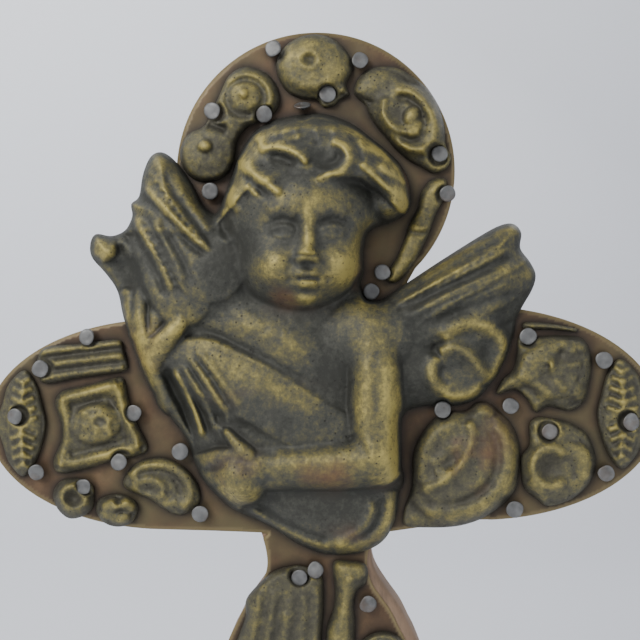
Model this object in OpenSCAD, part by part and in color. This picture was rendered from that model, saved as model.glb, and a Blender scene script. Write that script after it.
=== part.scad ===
// Processional cross: a wooden cross faced with thin copper sheet, covered with nailed-on bronze
// reliefs and carried on a brass foot with a socket for a round staff.
// Origin: centre of the socket's mouth. +Z runs up the staff, the decorated front faces -Y.
// Outlines on the front are [x, z] pairs measured from the point where the arms cross.

/* [Cross] */
// Height of the arms' centre line above the socket's mouth
cross_z = 400; // [400:1:400]
// Thickness of both wooden boards
board_t = 22; // [20:0.5:26]
// Half the height of the crossbar at the middle
arm_half_h = 53; // [50:1:56]
// Half the span from arm end to arm end
arm_reach = 168; // [166:1:180]
// Where the straight part of each arm turns into its rounded end
arm_straight = 78; // [70:1:84]
// Height of the halo's centre above the arms' centre line
halo_z = 126.5; // [124:0.5:128]
// Radius of the halo
halo_r = 69.6; // [68:0.1:71]
// How far the right arm's end stands above the left arm's end
arm_rise = 6.5; // [3:0.5:7]
// Half the width of the upright where it passes through the crossbar
lap_half_w = 28; // [24:0.5:28]
// Half the width of the tongue at the upright's lower end
tongue_half_w = 20; // [18:0.5:20]

/* [Facing and reliefs] */
// Thickness of the copper sheet
facing_t = 0.8; // [0.5:0.1:1.2]
// Thickness of the reliefs' flat edges
plate_t = 3; // [2:0.5:3]
// Wall of the hollow cherub casting
cast_wall = 3; // [2.5:0.5:3]

/* [Nails] */
// Radius of a nail's shank
shank_r = 1.3; // [1:0.1:1.5]
// Radius of a nail's flat head
head_r = 4.1; // [3.5:0.1:4.2]
// Thickness of a nail's head
head_t = 1.1; // [0.8:0.1:1.2]
// Gap between the copper sheet and the underside of a nail's head
head_lift = 4.4; // [4.2:0.1:5]
// How far a nail goes in behind the copper sheet
nail_depth = 17; // [12:1:18]

/* [Foot] */
// Radius of the staff socket's bore
socket_r = 15.2; // [14:0.1:15.2]
// Wall of the staff socket
socket_wall = 3.2; // [3:0.1:3.5]
// Depth of the staff socket's bore
socket_depth = 74; // [60:1:74]
// Height of the hollow knop
knop_h = 44; // [44:1:44]
// Radius of the knop, without its band
knop_r = 26; // [24:0.5:27]
// Wall of the knop's two spun halves
knop_wall = 2; // [1.5:0.1:2.5]
// Radius of the steel tang that ties the board to the socket
tang_r = 4; // [3.5:0.1:4]

/* [Thumbscrew] */
// Height of the thumbscrew above the socket's mouth
screw_z = 28; // [24:1:34]
// Radius of the thumbscrew's shank
screw_r = 3; // [2.5:0.1:3]
// Radius of the pressure pad
pad_r = 4; // [3.6:0.1:4]

/* [Hidden] */
$fn = 64;

// Radial gap of a push fit, and of a turning or sliding fit
push_gap = 0.03;
run_gap = 0.05;
// A cut's overrun, so that it leaves no skin
over = 1;

front = board_t / 2;
skin = front + facing_t;
tongue_top = -228;
tongue_end = -246;

// The foot's stations, measured upwards from the socket's mouth
ferrule_floor = 3;
ferrule_z = cross_z + tongue_end - ferrule_floor;
collar_h = 8;
knop_z = ferrule_z - collar_h - knop_h;
socket_top = knop_z - collar_h;
chamber_r = 12;
bridge_t = 5;
socket_out_r = socket_r + socket_wall;
tang_top = cross_z - 176;
washer_t = 2;
nut_t = 6;
// How far the tang's end stands out past its nut
tang_spare = 2.5;
tang_end = socket_top - bridge_t - washer_t - nut_t - tang_spare;
pin_r = 2;
pin_heights = [-194, -221];

// ---------- outlines ----------

// A point of the smooth closed curve that runs through every given point
function curve_point(a, b, c, d, t) =
    0.5 * (2 * b + (c - a) * t + (2 * a - 5 * b + 4 * c - d) * t * t
        + (3 * b - a - 3 * c + d) * t * t * t);

// The closed curve, with a number of steps between neighbouring points
function smooth(p, steps = 3) = [
    for (i = [0 : len(p) - 1])
        for (k = [0 : steps - 1])
            curve_point(p[(i + len(p) - 1) % len(p)], p[i], p[(i + 1) % len(p)],
                p[(i + 2) % len(p)], k / steps)
];

// The curve through the points of an open run, without its first and last point
function open_run(p, steps = 4) = [
    for (i = [1 : len(p) - 3])
        for (k = [0 : steps - 1])
            curve_point(p[i - 1], p[i], p[i + 1], p[i + 2], k / steps)
];

function mirrored(p) = [for (i = [len(p) - 1 : -1 : 0]) [-p[i][0], p[i][1]]];

function shifted(p, by) = [for (q = p) q + by];

// The halo is a round disc, set a little to the left, open below where the neck joins it
halo_x = -1.2;
halo_steps = 72;
halo_from = -44;
halo_to = 224;
halo_arc = [
    for (i = [0 : halo_steps])
        let (a = halo_from + (halo_to - halo_from) * i / halo_steps)
        [halo_x + halo_r * cos(a), halo_z + halo_r * sin(a)]
];

// Right side of the halo's neck, from the crossbar up to the halo
neck_side = [[60, 53], [50, 53], [45, 57], [43, 64], [44.5, 71], [48.5, 78]];
// Right side of the lower shaft, from the crossbar down to the tongue
shaft_side = [
    [30, -49.5], [28, -54], [25.5, -63], [25, -71], [27.5, -79], [31.5, -85], [36.5, -92],
    [40.5, -100], [44, -107], [48.5, -120], [50, -135], [48, -150], [42, -168], [33, -188],
    [25.5, -206], [21, -219], [20, -228], [20, -240]
];
// How much wider the wood is than the copper along the lower shaft's right side
bevel_from = -56;
bevel_full = -80;
bevel_end = -222;
bevel_w = 5.5;
function bevel(z) =
    z > bevel_from || z < bevel_end ? 0
        : bevel_w * min(1, (bevel_from - z) / (bevel_from - bevel_full), (z - bevel_end) / 50);

shaft_curve = open_run(shaft_side);
neck_curve = open_run(neck_side);
wood_curve = [for (q = shaft_curve) [q[0] + bevel(q[1]), q[1]]];

function reversed(p) = [for (i = [len(p) - 1 : -1 : 0]) p[i]];

// One arm's outer end, a half ellipse about a given height
arm_steps = 40;
function arm_arc(rise) = [
    for (i = [0 : arm_steps])
        let (a = -90 + 180 * i / arm_steps)
        [arm_straight + (arm_reach - arm_straight) * cos(a), rise + arm_half_h * sin(a)]
];
right_arc = arm_arc(arm_rise);
left_arc = mirrored(arm_arc(0));

// The arms' lower edges rise a little towards the upright
arm_foot = shaft_side[0];

crossbar_edge = concat(
    [[lap_half_w, -arm_half_h], arm_foot], right_arc,
    [neck_side[0], [lap_half_w, arm_half_h], [-lap_half_w, arm_half_h]],
    left_arc, [[-arm_foot[0], arm_foot[1]], [-lap_half_w, -arm_half_h]]
);

upright_edge = concat(
    [[lap_half_w, arm_half_h]], neck_curve, halo_arc, mirrored(neck_curve),
    [[-lap_half_w, arm_half_h], [-lap_half_w, -arm_half_h]], mirrored(reversed(shaft_curve)),
    [[-tongue_half_w, tongue_top], [-tongue_half_w, tongue_end]],
    [[tongue_half_w, tongue_end], [tongue_half_w, tongue_top]],
    reversed(wood_curve), [[lap_half_w, -arm_half_h]]
);

facing_edge = concat(
    neck_curve, halo_arc, mirrored(neck_curve), left_arc,
    mirrored(reversed(shaft_curve)), [[-tongue_half_w, tongue_top], [tongue_half_w, tongue_top]],
    reversed(shaft_curve), right_arc
);

cherub_edge = [
    [-13, 154.5], [3, 155.5], [17, 150.5], [27, 143], [35, 136.5], [42, 129], [46, 119],
    [46, 108], [38, 101.5], [30, 99], [25, 95], [23, 86], [23.5, 77], [22, 68], [30, 62],
    [41, 68.5], [60, 81], [79, 93], [90, 99], [97, 100], [101, 95.5], [100.5, 88], [105, 81.5],
    [108, 75], [106.5, 68], [102, 60], [98.5, 53], [97, 45], [93, 33], [87, 22.5], [79, 13.5],
    [68, 10], [52, 9.5], [43, 5], [42, -11], [41, -33], [38, -49], [31, -59], [18, -64],
    [3, -64], [-10, -59], [-23, -51], [-34, -46], [-43, -42], [-51, -35], [-58, -27],
    [-62, -18], [-66, -7], [-76, 6], [-86, 21], [-93, 39], [-98, 54], [-101, 67], [-107, 76],
    [-114, 84], [-115, 91], [-112, 96], [-104, 95], [-97, 98], [-93.5, 105], [-94, 111],
    [-90, 115], [-88, 126], [-84, 135], [-78, 137], [-71, 132], [-63, 121], [-58, 111],
    [-51, 106], [-47, 114], [-43, 124], [-39.5, 134], [-33, 145], [-24, 151.5]
];
top_boss_edge = [
    [-20.5, 178], [-18, 187], [-11, 193], [-2, 195.3], [7, 193.3], [14, 187.5], [18, 179],
    [14.5, 170], [16, 165], [11, 162], [8, 159.5], [3, 159], [0, 162.5], [-8, 163.5], [-16, 168]
];
twin_boss_edge = [
    [-48, 168], [-44, 175.5], [-36, 179.5], [-26, 176.5], [-20, 169], [-19, 161],
    [-23.5, 154.5], [-34.5, 149.5], [-40, 142.5], [-41.5, 133], [-45, 126], [-52, 122.5],
    [-61, 123], [-67.5, 129], [-69, 138], [-65, 146], [-57, 150], [-53, 157]
];
shell_scroll_edge = [
    [18.5, 165.5], [21, 173], [28, 178], [39, 178], [48, 173], [56, 166], [61, 157],
    [63.5, 147], [64, 139], [66.5, 133], [64, 127.5], [58, 125.5], [52, 128.5], [45.5, 132],
    [39, 137.5], [34.5, 143], [29.5, 149], [26, 155], [24, 160]
];
strap_edge = [
    [52, 116], [57, 122], [64, 122], [63, 113], [59, 105], [55, 94], [49, 82], [42, 73],
    [37, 71], [34, 74], [39, 82], [43, 91], [46, 100], [50, 108]
];
fluted_bar_edge = [
    [-140, 37.5], [-120, 40.5], [-101, 42.5], [-98, 38], [-96, 31], [-98, 26.5], [-119, 23.5],
    [-140, 21]
];
plaque_edge = [
    [-129, 16.5], [-114, 20], [-100, 23.5], [-97, 20], [-95, 11], [-91, 0], [-86, -10],
    [-87, -14.5], [-95, -17], [-106, -19.5], [-119, -23.5], [-131, -25], [-134, -19],
    [-130, -9], [-130, 0], [-133, 10.5]
];
c_scroll_edge = [
    [-98, -29], [-94, -22.5], [-87, -18], [-76, -17.2], [-66, -22.5], [-60, -30.5],
    [-59, -38.5], [-63, -43], [-69, -45.5], [-76, -43.5], [-84, -38], [-90.5, -35.5], [-96, -33]
];
knot_edge = [
    [-110, -38], [-102, -35.5], [-95, -37], [-91, -40.5], [-91, -45], [-94, -50], [-100, -52],
    [-106, -51], [-110, -48], [-112, -43]
];
ring_mount_edge = [
    [-129, -28.5], [-120, -28], [-114, -31], [-113, -37], [-114, -43], [-119, -47], [-126, -48],
    [-132, -43], [-134, -35]
];
end_leaf_edge = [
    [-157, 20], [-149, 27], [-143, 20], [-140, 10], [-138, 0], [-140, -11], [-144, -21],
    [-150, -27], [-157, -20], [-160, -11], [-163, 0], [-160, 11]
];
scallop_edge = [
    [51, -6], [58, 3], [66, 7], [74, 7.5], [79, 11.5], [85, 11.5], [90.5, 7], [96, 1],
    [100, -9], [100, -21], [98, -31], [92, -38.5], [84, -44.5], [76, -48], [67, -50],
    [55, -50.5], [44, -49.5], [43.5, -42], [47, -31], [47.5, -16]
];
acanthus_edge = [
    [89, 16], [92, 23], [97, 28], [99, 37], [100, 44], [107, 44], [119, 45], [131, 43], [135, 33],
    [134, 21], [131, 12], [124, 8], [114, 10], [108, 7], [104, 13], [98, 18]
];
edge_bar_edge = [
    [102, 51], [110, 51.3], [122, 49.6], [128, 48], [127, 46.6], [119, 47.5], [109, 47.8], [103, 47.6]
];
ring_leaf_edge = [
    [105, 1], [109, 4.5], [115, 4], [124, 2], [133, -4], [137, -15], [135, -26], [128, -34],
    [120, -38], [113, -39], [109, -36], [103, -31], [101, -24], [101, -15], [105, -9]
];
pleated_edge = [
    [-35.5, -87.5], [-29, -79.5], [-22, -73.5], [-15, -71], [-7, -70.5], [2, -75], [3.5, -86],
    [2.5, -106], [1, -124], [-12, -131], [-27, -133], [-41, -130], [-43, -117], [-39, -105],
    [-36, -96]
];
bone_edge = [
    [8.5, -68], [17, -67.5], [24, -69], [25.5, -74.5], [23.5, -79.5], [19.5, -83], [18.5, -90],
    [19, -98], [19, -107], [18, -115], [13, -119], [6.5, -116], [4.5, -108], [5.2, -100],
    [8, -92], [9, -84], [8.3, -76]
];
stud_centre = [33, -116];
stud_r = 13.5;
rosette_centre = [8, -148];
rosette_r = 19;
shaft_strap_edge = [
    [-37, -140], [-30, -137], [-24, -141], [-21, -152], [-17, -164], [-12, -176], [-12, -184],
    [-17, -187], [-22, -181], [-28, -168], [-33, -155]
];
husk_edge = [
    [0, -172], [9, -176], [15, -185], [14, -196], [9, -207], [3, -217], [-1, -222], [-5, -216],
    [-8, -206], [-9, -196], [-6, -186], [-5, -178]
];

// ---------- nails: [x, z, lean of the head in degrees, direction of the lean] ----------

halo_nails = [
    [-21.5, 187, 9, 160], [21.5, 180.5, 12, 40], [5.5, 164, 4, 0], [-26, 154.5, 10, 250],
    [-52, 156.5, 11, 200], [-53, 116.5, 6, 270], [60.5, 134, 5, 90], [64.4, 114.4, 14, 300],
    [32.5, 76, 5, 30], [27, 66.5, 7, 200]
];
bent_nail = [-7, 158.8, 58, 95];
left_nails = [
    [-115.3, 44, 9, 140], [-91.5, 6, 8, 210], [-99, -18.5, 7, 100], [-117, -31, 12, 180],
    [-68, -13, 6, 60], [-58, -44, 7, 300], [-139, 28, 6, 20], [-152, 4, 8, 200],
    [-141, -24, 9, 280]
];
right_nails = [
    [103.5, 44.5, 8, 330], [95, 10.5, 10, 70], [62, 8.5, 13, 90], [114, -2, 7, 20],
    [97, -40, 8, 250], [140, 33, 6, 110], [153, 3, 9, 10], [141, -22, 7, 230]
];
shaft_nails = [
    [-8.5, -75, 6, 200], [-0.5, -71, 12, 100], [25.5, -87.5, 7, 330], [-30, -135, 9, 240],
    [25, -128, 6, 60], [36, -143, 10, 20], [-16, -168, 8, 180], [24, -168, 6, 320],
    [13, -194, 9, 0], [-10, -206, 8, 200]
];

// A hole whose nail is lost
empty_hole = [51, 85];
empty_hole_r = 1.5;
empty_hole_depth = 9;

// ---------- placing things on the front ----------

// Lays a flat shape on the cross's front, raised by lift, growing outwards
module on_front(lift = 0) {
    translate([0, -(skin + lift), cross_z])
        rotate([90, 0, 0])
            children();
}

head_gap = 0.5;
pocket_h = 60;

// Shank holes and pockets that keep a relief clear of the nails and their heads
module nail_room(nails) {
    for (n = nails)
        translate([n[0], n[1], -over]) {
            cylinder(r = shank_r + push_gap, h = head_lift + over);
            translate([0, 0, plate_t + over])
                cylinder(r = head_r + head_gap, h = pocket_h);
        }
}

// Holes through the copper and into the wood for the nails' shanks
module shank_holes(nails) {
    depth = nail_depth + facing_t + over + push_gap;
    on_front(over)
        for (n = nails)
            translate([n[0], n[1], -depth])
                cylinder(r = shank_r + push_gap, h = depth + over);
}

// A low round swelling: a cap of a ball, wide r at its foot
module dome(x, z, r, rise) {
    ball = (r * r + rise * rise) / (2 * rise);
    translate([x, z, plate_t - over / 2 + rise - ball])
        intersection() {
            sphere(r = ball, $fn = 48);
            translate([-r, -r, ball - rise])
                cube([2 * r, 2 * r, rise]);
        }
}

// A ring that stands on a relief
module raised_ring(x, z, r, width, rise) {
    translate([x, z, plate_t - over / 2])
        difference() {
            cylinder(r = r, h = rise + over / 2);
            translate([0, 0, -over])
                cylinder(r = r - width, h = rise + 3 * over);
        }
}

// A square rib between two points of a relief
module rib(from, to, r, rise) {
    run = to - from;
    translate([from[0], from[1], plate_t - over / 2])
        rotate([0, 0, atan2(run[1], run[0])])
            translate([0, -r, 0])
                cube([norm(run), 2 * r, rise + over / 2]);
}

// A relief: a flat plate with its outline, its raised forms, and room for the nails near it
module relief(edge, nails) {
    on_front()
        difference() {
            union() {
                linear_extrude(plate_t)
                    polygon(smooth(edge));
                children();
            }
            nail_room(nails);
        }
}

// ---------- wood and copper ----------

wood = [0.72, 0.55, 0.43];

module board_slab(edge) {
    translate([0, front, cross_z])
        rotate([90, 0, 0])
            linear_extrude(board_t)
                polygon(edge);
}

// The half of the crossing that each board gives up to the other
module lap_room(back) {
    half = arm_half_h + (back ? 0 : over);
    translate([-lap_half_w - (back ? over : 0), back ? 0 : -front - over, cross_z - half])
        cube([2 * lap_half_w + (back ? 2 * over : 0), front + over, 2 * half]);
}

peg_r = 4;
peg_len = board_t - 2;
peg_spots = [[-16, 34], [16, 34], [-16, -34], [16, -34]];

module peg_shape(gap) {
    for (p = peg_spots)
        translate([p[0], front + (gap > 0 ? over : 0), cross_z + p[1]])
            rotate([90, 0, 0])
                cylinder(r = peg_r + gap, h = peg_len + (gap > 0 ? over + gap : 0));
}

module tang_hole(gap) {
    translate([0, 0, tang_end])
        cylinder(r = tang_r + gap, h = tang_top - tang_end + gap);
}

module pin_shape(gap, extra) {
    for (z = pin_heights)
        translate([0, front + extra, cross_z + z])
            rotate([90, 0, 0])
                cylinder(r = pin_r + gap, h = board_t + 2 * extra);
}

module loose_hole() {
    on_front(over)
        translate([empty_hole[0], empty_hole[1], -empty_hole_depth])
            cylinder(r = empty_hole_r, h = empty_hole_depth + over);
}

// What the arms of the crossbar take up on either side of the upright
module arm_room() {
    for (side = [0, 1])
        mirror([side, 0, 0])
            translate([lap_half_w, front - board_t - over, cross_z - arm_half_h])
                cube([arm_reach, 2 * board_t + 2 * over, 2 * arm_half_h]);
}

module upright_board() {
    color(wood)
        difference() {
            board_slab(upright_edge);
            arm_room();
            lap_room(true);
            peg_shape(push_gap);
            tang_hole(push_gap);
            pin_shape(push_gap, over);
            shank_holes(concat(halo_nails, [bent_nail], shaft_nails));
            loose_hole();
        }
}

module crossbar_board() {
    color(wood)
        difference() {
            board_slab(crossbar_edge);
            lap_room(false);
            peg_shape(push_gap);
            shank_holes(concat(left_nails, right_nails));
        }
}

module lap_pegs() {
    color([0.62, 0.45, 0.32])
        peg_shape(0);
}

module copper_facing() {
    color([0.55, 0.4, 0.3])
        difference() {
            translate([0, -front, cross_z])
                rotate([90, 0, 0])
                    linear_extrude(facing_t)
                        polygon(facing_edge);
            shank_holes(concat(halo_nails, [bent_nail], left_nails, right_nails, shaft_nails));
            loose_hole();
        }
}

// ---------- reliefs ----------

bronze = [0.5, 0.44, 0.26];

// A limb between two points of the casting, [x, z, height], with round ends
module limb(from, to, r) {
    run = to - from;
    translate(from) {
        rotate([0, acos(run[2] / norm(run)), atan2(run[1], run[0])])
            cylinder(r = r, h = norm(run), $fn = 48);
        sphere(r = r + 0.2, $fn = 48);
    }
    translate(to)
        sphere(r = r + 0.2, $fn = 48);
}

// The cherub's swelling forms, made smaller all over by inset
module cherub_forms(inset) {
    // head, face and the tuft of hair at its side
    translate([-11, 106, -3])
        sphere(r = 36.5 - inset);
    translate([-9, 96, 8])
        sphere(r = 31 - inset);
    translate([34, 118, -4])
        sphere(r = 12 - inset);
    // chest and belly
    translate([-8, 18, -36])
        sphere(r = 60 - inset);
    // hanging hem
    translate([5, -30, -20])
        sphere(r = 38 - inset);
    // raised hand and its forearm
    limb([-84, 48, 3], [-70, 15, 3], 12 - inset);
    // lowered arm and its hand
    limb([30, 40, 8], [33, -26, 9], 13 - inset);
    limb([33, -26, 9], [-30, -32, 7], 13.5 - inset);
    // roots of the wings
    limb([-66, 92, -2], [-78, 124, -2], 9 - inset);
    limb([48, 60, -2], [88, 84, -2], 11 - inset);
    // curl below the right wing
    translate([76, 33, -2])
        sphere(r = 15.5 - inset);
}

cherub_room = 200;

module cherub_relief() {
    color(bronze)
        on_front()
            difference() {
                intersection() {
                    union() {
                        linear_extrude(plate_t)
                            polygon(smooth(cherub_edge));
                        cherub_forms(0);
                    }
                    translate([-cherub_room, -cherub_room, 0])
                        cube([2 * cherub_room, 2 * cherub_room, cherub_room]);
                }
                cherub_forms(cast_wall);
                nail_room(concat(halo_nails, [bent_nail], left_nails, right_nails, shaft_nails));
            }
}

module top_boss() {
    color(bronze)
        relief(top_boss_edge, concat(halo_nails, [bent_nail]))
            difference() {
                dome(-2, 179, 15, 9);
                translate([-2, 180, 10])
                    cylinder(r = 3, h = 4);
            }
}

module twin_boss_plate() {
    color(bronze)
        relief(twin_boss_edge, halo_nails) {
            raised_ring(-35, 164, 12, 3, 3);
            dome(-35, 164, 7, 5);
            dome(-54, 136, 10, 6);
        }
}

module shell_scroll() {
    color(bronze)
        relief(shell_scroll_edge, halo_nails) {
            dome(46, 152, 12, 7);
            dome(34, 165, 9, 4);
        }
}

module ribbed_strap() {
    color(bronze)
        relief(strap_edge, halo_nails)
            for (s = [[[57, 116], [52, 102]], [[51, 98], [43, 82]]])
                rib(s[0], s[1], 3, 2.5);
}

module fluted_bar() {
    color(bronze)
        relief(fluted_bar_edge, left_nails)
            for (z = [26.5, 32.5, 38.5])
                rib([-134, z - 1], [-102, z + 1], 1.6, 3.5);
}

module framed_plaque() {
    color(bronze)
        relief(plaque_edge, left_nails) {
            dome(-113, -3, 14, 5);
            rib([-126, 13.5], [-102, 18], 2, 3);
            rib([-126, -20], [-106, -16], 2, 3);
        }
}

module c_scroll() {
    color(bronze)
        relief(c_scroll_edge, left_nails) {
            raised_ring(-82, -29, 9, 3, 3);
            dome(-82, -29, 4, 3);
        }
}

module knot_flower() {
    color(bronze)
        relief(knot_edge, left_nails)
            dome(-101, -43, 7, 6);
}

module ring_mount() {
    color(bronze)
        relief(ring_mount_edge, left_nails)
            raised_ring(-123.5, -38.5, 7, 2.5, 3.5);
}

module left_end_leaf() {
    color(bronze)
        relief(end_leaf_edge, left_nails)
            rib([-147, -16], [-147, 16], 3, 3);
}

module right_end_leaf() {
    color(bronze)
        relief(shifted(mirrored(end_leaf_edge), [0, arm_rise]), right_nails)
            rib([147, -16 + arm_rise], [147, 16 + arm_rise], 3, 3);
}

module scallop_cartouche() {
    color(bronze)
        relief(scallop_edge, right_nails) {
            dome(70, -20, 20, 8);
            dome(82, 4, 6, 5);
        }
}

module acanthus_curl() {
    color(bronze)
        relief(acanthus_edge, right_nails) {
            dome(114, 26, 12, 7);
            dome(124, 33, 7, 6);
        }
}

module edge_bar() {
    color(bronze)
        relief(edge_bar_edge, right_nails)
            rib([108, 48.4], [120, 47.8], 0.8, 1.5);
}

module ring_leaf() {
    color(bronze)
        relief(ring_leaf_edge, right_nails) {
            raised_ring(116, -20, 10, 3, 4);
            dome(126, -26, 5, 4);
        }
}

module pleated_plate() {
    color(bronze)
        relief(pleated_edge, shaft_nails)
            for (x = [-32, -23, -12, -3])
                rib([x, -122], [x + 2, -92], 2, 4);
}

module bone_scroll() {
    color(bronze)
        relief(bone_edge, shaft_nails) {
            dome(15.5, -75, 6, 6);
            rib([12, -112], [13, -84], 3.5, 4);
        }
}

// A round relief and its outline
function ring_of(centre, r, points) =
    [for (i = [0 : points - 1]) centre + r * [cos(360 * i / points), sin(360 * i / points)]];

module round_stud() {
    color(bronze)
        relief(ring_of(stud_centre, stud_r, 16), shaft_nails)
            dome(stud_centre[0], stud_centre[1], 9, 5);
}

module shaft_rosette() {
    petals = 8;
    wave = 1.6;
    edge = [
        for (i = [0 : 4 * petals - 1])
            let (a = 360 * i / (4 * petals))
            rosette_centre + (rosette_r + wave * cos(petals * a)) * [cos(a), sin(a)]
    ];
    color(bronze)
        relief(edge, shaft_nails) {
            raised_ring(rosette_centre[0], rosette_centre[1], 13, 3, 3);
            dome(rosette_centre[0], rosette_centre[1], 7, 6);
        }
}

module shaft_strap() {
    color(bronze)
        relief(shaft_strap_edge, shaft_nails)
            rib([-18, -179], [-29, -147], 2.5, 3);
}

module shaft_husk() {
    color(bronze)
        relief(husk_edge, shaft_nails)
            dome(2, -187, 8, 5);
}

// ---------- nails ----------

module nail(n, lift = head_lift) {
    translate([n[0], n[1], 0]) {
        translate([0, 0, -nail_depth])
            cylinder(r = shank_r, h = nail_depth + lift + head_t / 2);
        translate([0, 0, lift + head_t / 2])
            rotate([0, 0, n[3]])
                rotate([0, n[2], 0])
                    translate([0, 0, -head_t / 2])
                        cylinder(r = head_r, h = head_t, $fn = 48);
    }
}

module nail_group(nails) {
    color([0.5, 0.5, 0.5])
        on_front()
            for (n = nails)
                nail(n);
}

bent_drop = 0.4;

module halo_nail_set() {
    nail_group(halo_nails);
    color([0.5, 0.5, 0.5])
        on_front()
            nail(bent_nail, head_lift - bent_drop);
}

module left_nail_set() {
    nail_group(left_nails);
}

module right_nail_set() {
    nail_group(right_nails);
}

module shaft_nail_set() {
    nail_group(shaft_nails);
}

// ---------- foot ----------

brass = [0.72, 0.6, 0.3];
steel = [0.55, 0.55, 0.56];

ferrule_wall = 2.2;
ferrule_round = 3;
// Gap between the ferrule's mouth and the lower edge of the copper
mouth_gap = 0.4;
// Angles of the points round a half-round bead
bead_angles = [for (i = [0 : 8]) -90 + 22.5 * i];

// A rectangle with round corners
function round_rect(half_w, half_d, r) = [
    for (c = [[1, 1, 0], [-1, 1, 90], [-1, -1, 180], [1, -1, 270]])
        for (i = [0 : 6])
            [c[0] * (half_w - r) + r * cos(c[2] + 15 * i), c[1] * (half_d - r) + r * sin(c[2] + 15 * i)]
];

module board_ferrule() {
    top = cross_z + tongue_top - mouth_gap;
    color(brass)
        difference() {
            translate([0, 0, ferrule_z])
                linear_extrude(top - ferrule_z)
                    polygon(round_rect(tongue_half_w + ferrule_wall, front + ferrule_wall, ferrule_round));
            translate([-tongue_half_w - push_gap, -front - push_gap, ferrule_z + ferrule_floor])
                cube([2 * (tongue_half_w + push_gap), 2 * (front + push_gap), top]);
            tang_hole(push_gap);
            pin_shape(push_gap, ferrule_wall + over);
        }
}

module tang_rod() {
    color(steel)
        difference() {
            tang_hole(0);
            pin_shape(push_gap, over);
        }
}

module tang_pins() {
    color(steel)
        pin_shape(0, 0);
}

// A turned collar: a bead between two flats, bored for the tang
module collar(z, end_r, bead_r) {
    bead = collar_h / 2;
    translate([0, 0, z])
        rotate_extrude()
            polygon(concat(
                [[tang_r + push_gap, 0], [end_r, 0]],
                [for (a = bead_angles) [end_r + (bead_r - end_r) * cos(a), bead + (bead - 1) * sin(a)]],
                [[end_r, collar_h], [tang_r + push_gap, collar_h]]
            ));
}

module upper_collar() {
    color(brass)
        collar(ferrule_z - collar_h, 13, 17);
}

module lower_collar() {
    color(brass)
        collar(socket_top, 15, 20);
}

knop_neck_r = 8;
knop_mid = knop_z + knop_h / 2;

// How far the neck's edge reaches in past the wall
neck_lip = 0.2;

// One half of the knop: a spun cup with its neck outwards, from the band's plane
module knop_half() {
    steps = 16;
    reach = knop_h / 2;
    turn = acos(knop_neck_r / knop_r);
    function wall_point(r, h, i) = [r * cos(turn * i / steps), h * sin(turn * i / steps) / sin(turn)];
    rotate_extrude()
        polygon(concat(
            [for (i = [0 : steps]) wall_point(knop_r, reach, i)],
            [wall_point(knop_r - knop_wall, reach, steps) - [neck_lip, 0]],
            [for (i = [steps - 1 : -1 : 0]) wall_point(knop_r - knop_wall, reach - knop_wall, i)]
        ));
}

module knop_upper() {
    color(brass)
        translate([0, 0, knop_mid])
            knop_half();
}

module knop_lower() {
    color(brass)
        translate([0, 0, knop_mid])
            mirror([0, 0, 1])
                knop_half();
}

band_half_h = 4;
band_t = 3;
band_edge_t = 0.8;
band_gap = 0.02;

module knop_band() {
    inner = knop_r + band_gap;
    color(brass)
        translate([0, 0, knop_mid])
            rotate_extrude()
                polygon(concat(
                    [[inner, -band_half_h]],
                    [for (a = bead_angles)
                        [inner + band_edge_t + (band_t - band_edge_t) * cos(a), band_half_h * sin(a)]],
                    [[inner, band_half_h]]
                ));
}

core_r = 6;

module knop_core() {
    color(steel)
        translate([0, 0, knop_z])
            difference() {
                cylinder(r = core_r, h = knop_h);
                translate([0, 0, -over])
                    cylinder(r = tang_r + push_gap, h = knop_h + 2 * over);
            }
}

module staff_socket() {
    color(brass)
        difference() {
            rotate_extrude()
                polygon([
                    [tang_r + push_gap, socket_top], [socket_out_r, socket_top], [socket_out_r, 0],
                    [socket_r, 0], [socket_r, socket_depth], [chamber_r, socket_depth],
                    [chamber_r, socket_top - bridge_t], [tang_r + push_gap, socket_top - bridge_t]
                ]);
            translate([0, 0, screw_z])
                rotate([-90, 0, 0])
                    cylinder(r = pad_r + run_gap, h = 2 * socket_out_r);
        }
}

rim_h = 7;
rim_t = 3.4;
rim_edge_t = 1;

module socket_rim() {
    inner = socket_out_r + push_gap;
    color(brass)
        rotate_extrude()
            polygon(concat(
                [[inner, 0]],
                [for (a = bead_angles)
                    [inner + rim_edge_t + (rim_t - rim_edge_t) * cos(a), rim_h / 2 + rim_h / 2 * sin(a)]],
                [[inner, rim_h]]
            ));
}

washer_r = 9.5;

module tang_washer() {
    color(steel)
        translate([0, 0, socket_top - bridge_t - washer_t])
            difference() {
                cylinder(r = washer_r, h = washer_t);
                translate([0, 0, -over])
                    cylinder(r = tang_r + push_gap, h = washer_t + 2 * over);
            }
}

nut_flat = 13;

module tang_nut() {
    color(steel)
        translate([0, 0, socket_top - bridge_t - washer_t - nut_t])
            difference() {
                cylinder(r = nut_flat / sqrt(3), h = nut_t, $fn = 6);
                translate([0, 0, -over])
                    cylinder(r = tang_r + push_gap, h = nut_t + 2 * over);
            }
}

// ---------- thumbscrew ----------

boss_r = 8;
boss_end = 28;
pad_front = 15.6;
pad_back = 18;
pivot_r = 1.5;
pivot_len = 1.2;
// Gap at the bottom of the pad's pivot hole
pivot_gap = 0.1;
head_at = 33;
flange_r = 7;
flange_t = 3;
wing_half_w = 15;
wing_t = 5;
// How far the wings run into the flange
wing_root = 0.5;

// Grows outwards along +Y, from a distance behind the staff's centre line
module behind(y) {
    translate([0, y, screw_z])
        rotate([-90, 0, 0])
            children();
}

module screw_boss() {
    color(brass)
        difference() {
            behind(socket_r)
                cylinder(r = boss_r, h = boss_end - socket_r);
            translate([0, 0, screw_z - 2 * boss_r])
                cylinder(r = socket_out_r, h = 4 * boss_r);
            behind(0)
                cylinder(r = screw_r + run_gap, h = boss_end + over);
        }
}

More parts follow.
